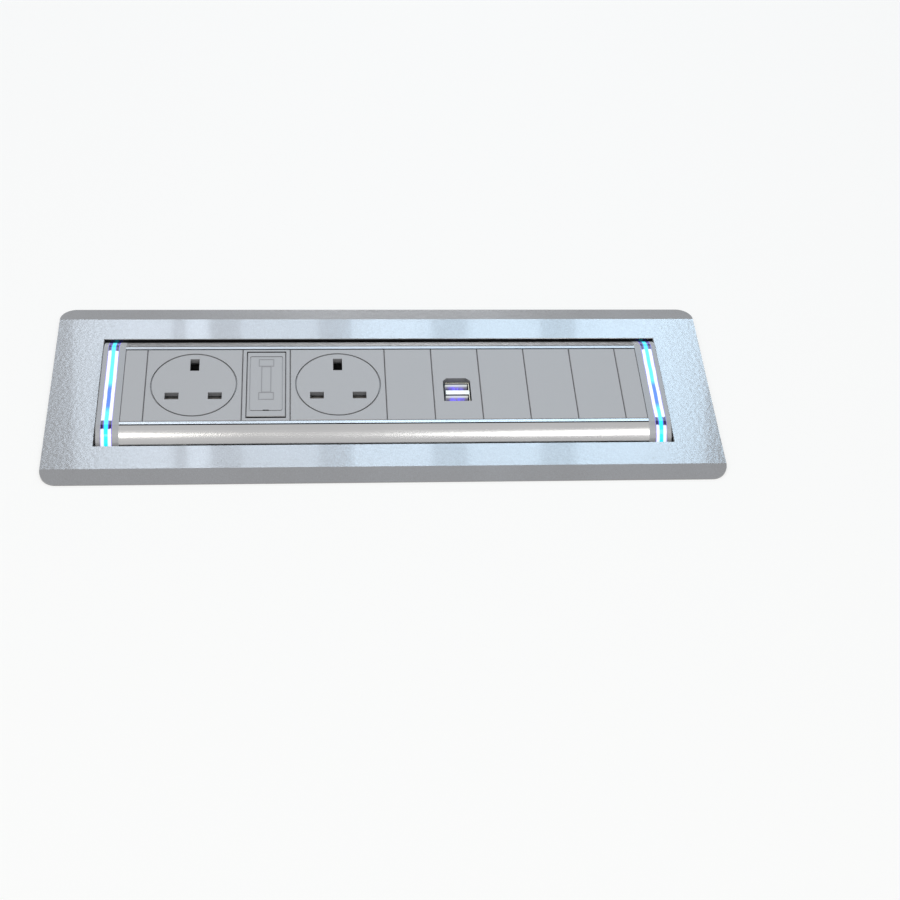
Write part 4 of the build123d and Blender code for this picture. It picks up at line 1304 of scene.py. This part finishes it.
@dataclass
class ShutterSprings:
    """Coil springs behind the socket shutters."""

    centres_x: tuple[tuple[str, float], ...] = (("left", -100.0 * MM), ("right", -25.0 * MM))
    height: float = 0.65 * MM
    front: float = -21.9 * MM
    rear: float = -12.0 * MM
    spare: float = 1.1 * MM
    radius: float = 0.8 * MM
    wire: float = 0.2 * MM
    wire_sides: int = 8
    turns: int = 5
    turn_sides: int = 20

    def model(self, name: str) -> Piece:
        """One spring, rising along Z from the XY plane.

        Args:
            name: the spring's name.

        Returns:
            The spring.
        """
        clear_selection()
        bpy.ops.mesh.primitive_circle_add(
            vertices=self.wire_sides, radius=self.wire, location=(self.radius, 0.0, self.wire),
            rotation=(math.pi / 2, 0.0, 0.0),
        )
        spring = started(name)
        coil = spring.modifiers.new("coil", "SCREW")
        coil.axis = "Z"
        coil.steps = coil.render_steps = self.turn_sides
        coil.iterations = self.turns
        coil.screw_offset = (self.rear - self.front - 2 * self.wire) / self.turns
        bpy.ops.object.modifier_apply(modifier=coil.name)
        open_mesh()
        bpy.ops.mesh.fill_holes(sides=0)
        close_mesh()
        bpy.ops.object.shade_smooth()
        return spring

    def build(self, material: Material) -> None:
        """Builds both springs.

        Args:
            material: the springs' steel.
        """
        for side, x in self.centres_x:
            spring = self.model(f"shutter_coil_{side}")
            spring.matrix_world = facing(x, self.rear, self.height, (0.0, -1.0, 0.0))
            apply_place()
            spring.data.materials.append(material)
            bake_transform(spring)
            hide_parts(f"shutter_spring_{side}")
            LOG.info("built %s", spring.name)


@dataclass
class Stage:
    """Worktop, floor, lamps and camera."""

    worktop_x: Pair = (-0.28, 0.41)
    worktop_y: Pair = (-0.32, 0.41)
    worktop_thickness: float = 4.0 * MM
    cutout: Pair = (168.0 * MM, 56.0 * MM)
    floor_z: float = -78.9 * MM
    floor_size: float = 9.0
    camera_place: Point = (-0.03989, -0.57698, 0.61616)
    pitch: float = 0.850229
    yaw: float = 0.132953
    roll: float = 0.091816
    panes: tuple[Pane, ...] = (
        (-0.4, -0.25, 1.0, (0.76, 0.88, 1.0)),
        (-0.2285, -0.1935, 1.5, (0.76, 0.88, 1.0)),
        (-0.1456, -0.0256, 0.9, (0.73, 0.87, 1.0)),
        (0.0256, 0.1506, 1.1, (0.72, 0.86, 1.0)),
        (0.2066, 0.3216, 1.1, (0.68, 0.85, 1.0)),
        (0.377, 0.587, 1.1, (0.66, 0.84, 1.0)),
    )
    sky: Pane = (0.02, 0.587, 0.2, (0.25, 0.7, 1.0))
    sky_back: float = 0.02
    window: Pair = (1.12, 1.2)
    pane_height: float = 0.52
    pane_power: float = 15.6
    lamps: tuple[tuple[str, Point, Pair, float, Colour], ...] = (
        ("rear_low", (0.1, 1.8, 0.62), (0.45, 0.3), 1.3, (0.95, 0.98, 1.0)),
        ("rear_sill", (0.16, 1.8, 0.12), (0.31, 0.12), 0.8, (1.0, 0.99, 0.97)),
        ("key", (-0.9, -0.5, 1.1), (0.8, 0.8), 3.4, (1.0, 0.99, 0.97)),
        ("ceiling", (0.55, -0.66, 1.15), (0.90, 0.34), 4.6, (1.0, 0.99, 0.96)),
        ("ceiling_left", (-0.44, -0.66, 1.15), (0.36, 0.28), 2.3, (1.0, 0.97, 0.9)),
        ("under_front", (0.1, -1.2, 0.05), (1.6, 0.3), 5.0, (1.0, 1.0, 1.0)),
        ("under_rear", (-0.3, 1.3, -0.036), (1.6, 0.07), 4.0, (1.0, 1.0, 1.0)),
    )
    air: Colour = (0.96, 0.98, 1.0)
    air_strength: float = 0.445
    focal_pixels: float = 1592.9
    picture: float = 900.0
    sensor: float = 36.0

    def white(self, name: str, colour: Colour, share: float) -> Material:
        """Pale matt white that stays near white for the camera and still takes shadows.

        Args:
            name: the material's name.
            colour: its colour.
            share: how much of plain white the camera sees.

        Returns:
            The material.
        """
        shade = Shade(name)
        matt = shade.node("ShaderNodeBsdfPrincipled", {}, {"Base Color": colour, "Roughness": 0.6})
        plain = shade.node("ShaderNodeEmission", {}, {"Color": (1.0, 1.0, 0.995), "Strength": 1.0})
        return shade.end(shade.node("ShaderNodeMixShader", {}, {0: shade.seen() * share, 1: matt, 2: plain}))

    def worktop(self) -> None:
        """The desk's surface round the unit, with its cut-out."""
        x0, x1 = self.worktop_x
        y0, y1 = self.worktop_y
        cx, cy = self.cutout
        xs, ys = (x0, -cx, cx, x1), (y0, -cy, cy, y1)
        points = [(x, y, 0.0) for y in ys for x in xs]
        wide = len(xs)
        starts = [row * wide + column for row in range(3) for column in range(3) if (row, column) != (1, 1)]
        faces = [(start, start + 1, start + wide + 1, start + wide) for start in starts]
        mesh = bpy.data.meshes.new("worktop")
        mesh.from_pydata(points, [], faces)
        desk = bpy.data.objects.new("worktop", mesh)
        bpy.context.collection.objects.link(desk)
        wall = desk.modifiers.new("thickness", "SOLIDIFY")
        wall.thickness = self.worktop_thickness
        wall.offset = -1.0
        mesh.materials.append(self.white("worktop_white", (0.86, 0.86, 0.85), 0.7))

    def floor(self) -> None:
        """The plain floor that the housing stands over."""
        clear_selection()
        bpy.ops.mesh.primitive_plane_add(size=self.floor_size, location=(0.0, 0.0, self.floor_z))
        floor = bpy.context.active_object
        floor.name = "floor"
        floor.data.materials.append(self.white("floor_white", (0.85, 0.85, 0.85), 0.94))

    def lamp(self, name: str, place: Vector, size: Pair, power: float, colour: Colour,
             square: bool = False) -> Piece:
        """One soft rectangular lamp that faces the unit.

        Args:
            name: the lamp's name.
            place: where it hangs, in metres.
            size: its width and height.
            power: its power in watts.
            colour: its colour.
            square: whether it faces along the desk's depth instead, with its sides square to the desk.

        Returns:
            The lamp.
        """
        data = bpy.data.lights.new(name, "AREA")
        data.shape = "RECTANGLE"
        data.size, data.size_y = size
        data.energy = power
        data.color = colour
        lamp = bpy.data.objects.new(name, data)
        lamp.location = place
        aim = Vector((0.0 if square else -place.x, -place.y, -place.z))
        lamp.rotation_euler = aim.to_track_quat("-Z", "Y").to_euler()
        bpy.context.collection.objects.link(lamp)
        return lamp

    def pane(self, name: str, pane: Pane, back: float = 0.0) -> Piece:
        """One pane of the window that the rim mirrors.

        Args:
            name: the pane's name.
            pane: its two sides along X, its strength and its colour.
            back: how far behind the window it hangs.

        Returns:
            The pane's lamp.
        """
        start, end, strength, tint = pane
        y, z = self.window
        size = (end - start, self.pane_height)
        power = strength * self.pane_power * size[0] * size[1]
        place = Vector(((start + end) / 2, y + back, z + back))
        return self.lamp(name, place, size, power, tint, square=True)

    def light(self) -> None:
        """The lamps and the world."""
        for number, pane in enumerate(self.panes):
            self.pane(f"rear_window_{number}", pane)
        self.pane("rear_sky", self.sky, self.sky_back).visible_diffuse = False
        for name, place, size, power, colour in self.lamps:
            self.lamp(name, Vector(place), size, power, colour)
        shade = Shade("studio", world=True)
        soft = shade.node("ShaderNodeBackground", {}, {"Color": self.air, "Strength": self.air_strength})
        plain = shade.node("ShaderNodeBackground", {}, {"Color": (1.0, 1.0, 1.0), "Strength": 1.0})
        bpy.context.scene.world = shade.end(
            shade.node("ShaderNodeMixShader", {}, {0: shade.seen(), 1: soft, 2: plain})
        )

    def camera(self) -> None:
        """The camera at the photograph's angle."""
        look = Vector((
            math.sin(self.yaw) * math.cos(self.pitch),
            math.cos(self.yaw) * math.cos(self.pitch),
            -math.sin(self.pitch),
        ))
        level = Vector((math.cos(self.yaw), -math.sin(self.yaw), 0.0))
        upright = level.cross(look)
        right = math.cos(self.roll) * level + math.sin(self.roll) * upright
        up = -math.sin(self.roll) * level + math.cos(self.roll) * upright
        data = bpy.data.cameras.new("camera")
        data.sensor_fit = "HORIZONTAL"
        data.sensor_width = self.sensor
        data.lens = self.focal_pixels / self.picture * self.sensor
        data.clip_start = 0.01
        camera = bpy.data.objects.new("camera", data)
        turn = Matrix((right, up, -look)).transposed().to_4x4()
        camera.matrix_world = Matrix.Translation(Vector(self.camera_place)) @ turn
        bpy.context.collection.objects.link(camera)
        bpy.context.scene.camera = camera

    def set_up(self) -> None:
        """Builds the whole stage."""
        self.camera()
        self.worktop()
        self.floor()
        self.light()
        scene = bpy.context.scene
        scene.cycles.caustics_reflective = scene.cycles.caustics_refractive = False
        scene.view_settings.view_transform = "Standard"
        LOG.info("stage set")


def main() -> None:
    """Builds the scene in order."""
    logging.basicConfig(level=logging.INFO, format="%(message)s")
    Stage().set_up()
    wardrobe = Wardrobe(frame["nodes"])
    wardrobe.dress()
    FusePictogram().build(Moulding("pictogram_grey", (0.26, 0.26, 0.27), 0.5).make())
    CrossScrews().build(wardrobe.made["housing_screws"])
    FlangeNuts().build(wardrobe.made["frame_nuts"])
    TroughBeads().build(wardrobe.made["housing_trough"])
    SealCord().build(wardrobe.made["shaft_bush_left"])
    PortContacts().build(wardrobe.made["socket_contacts"])
    ShutterSprings().build(wardrobe.made["idler_axle"])


if __name__ == "__main__":
    main()
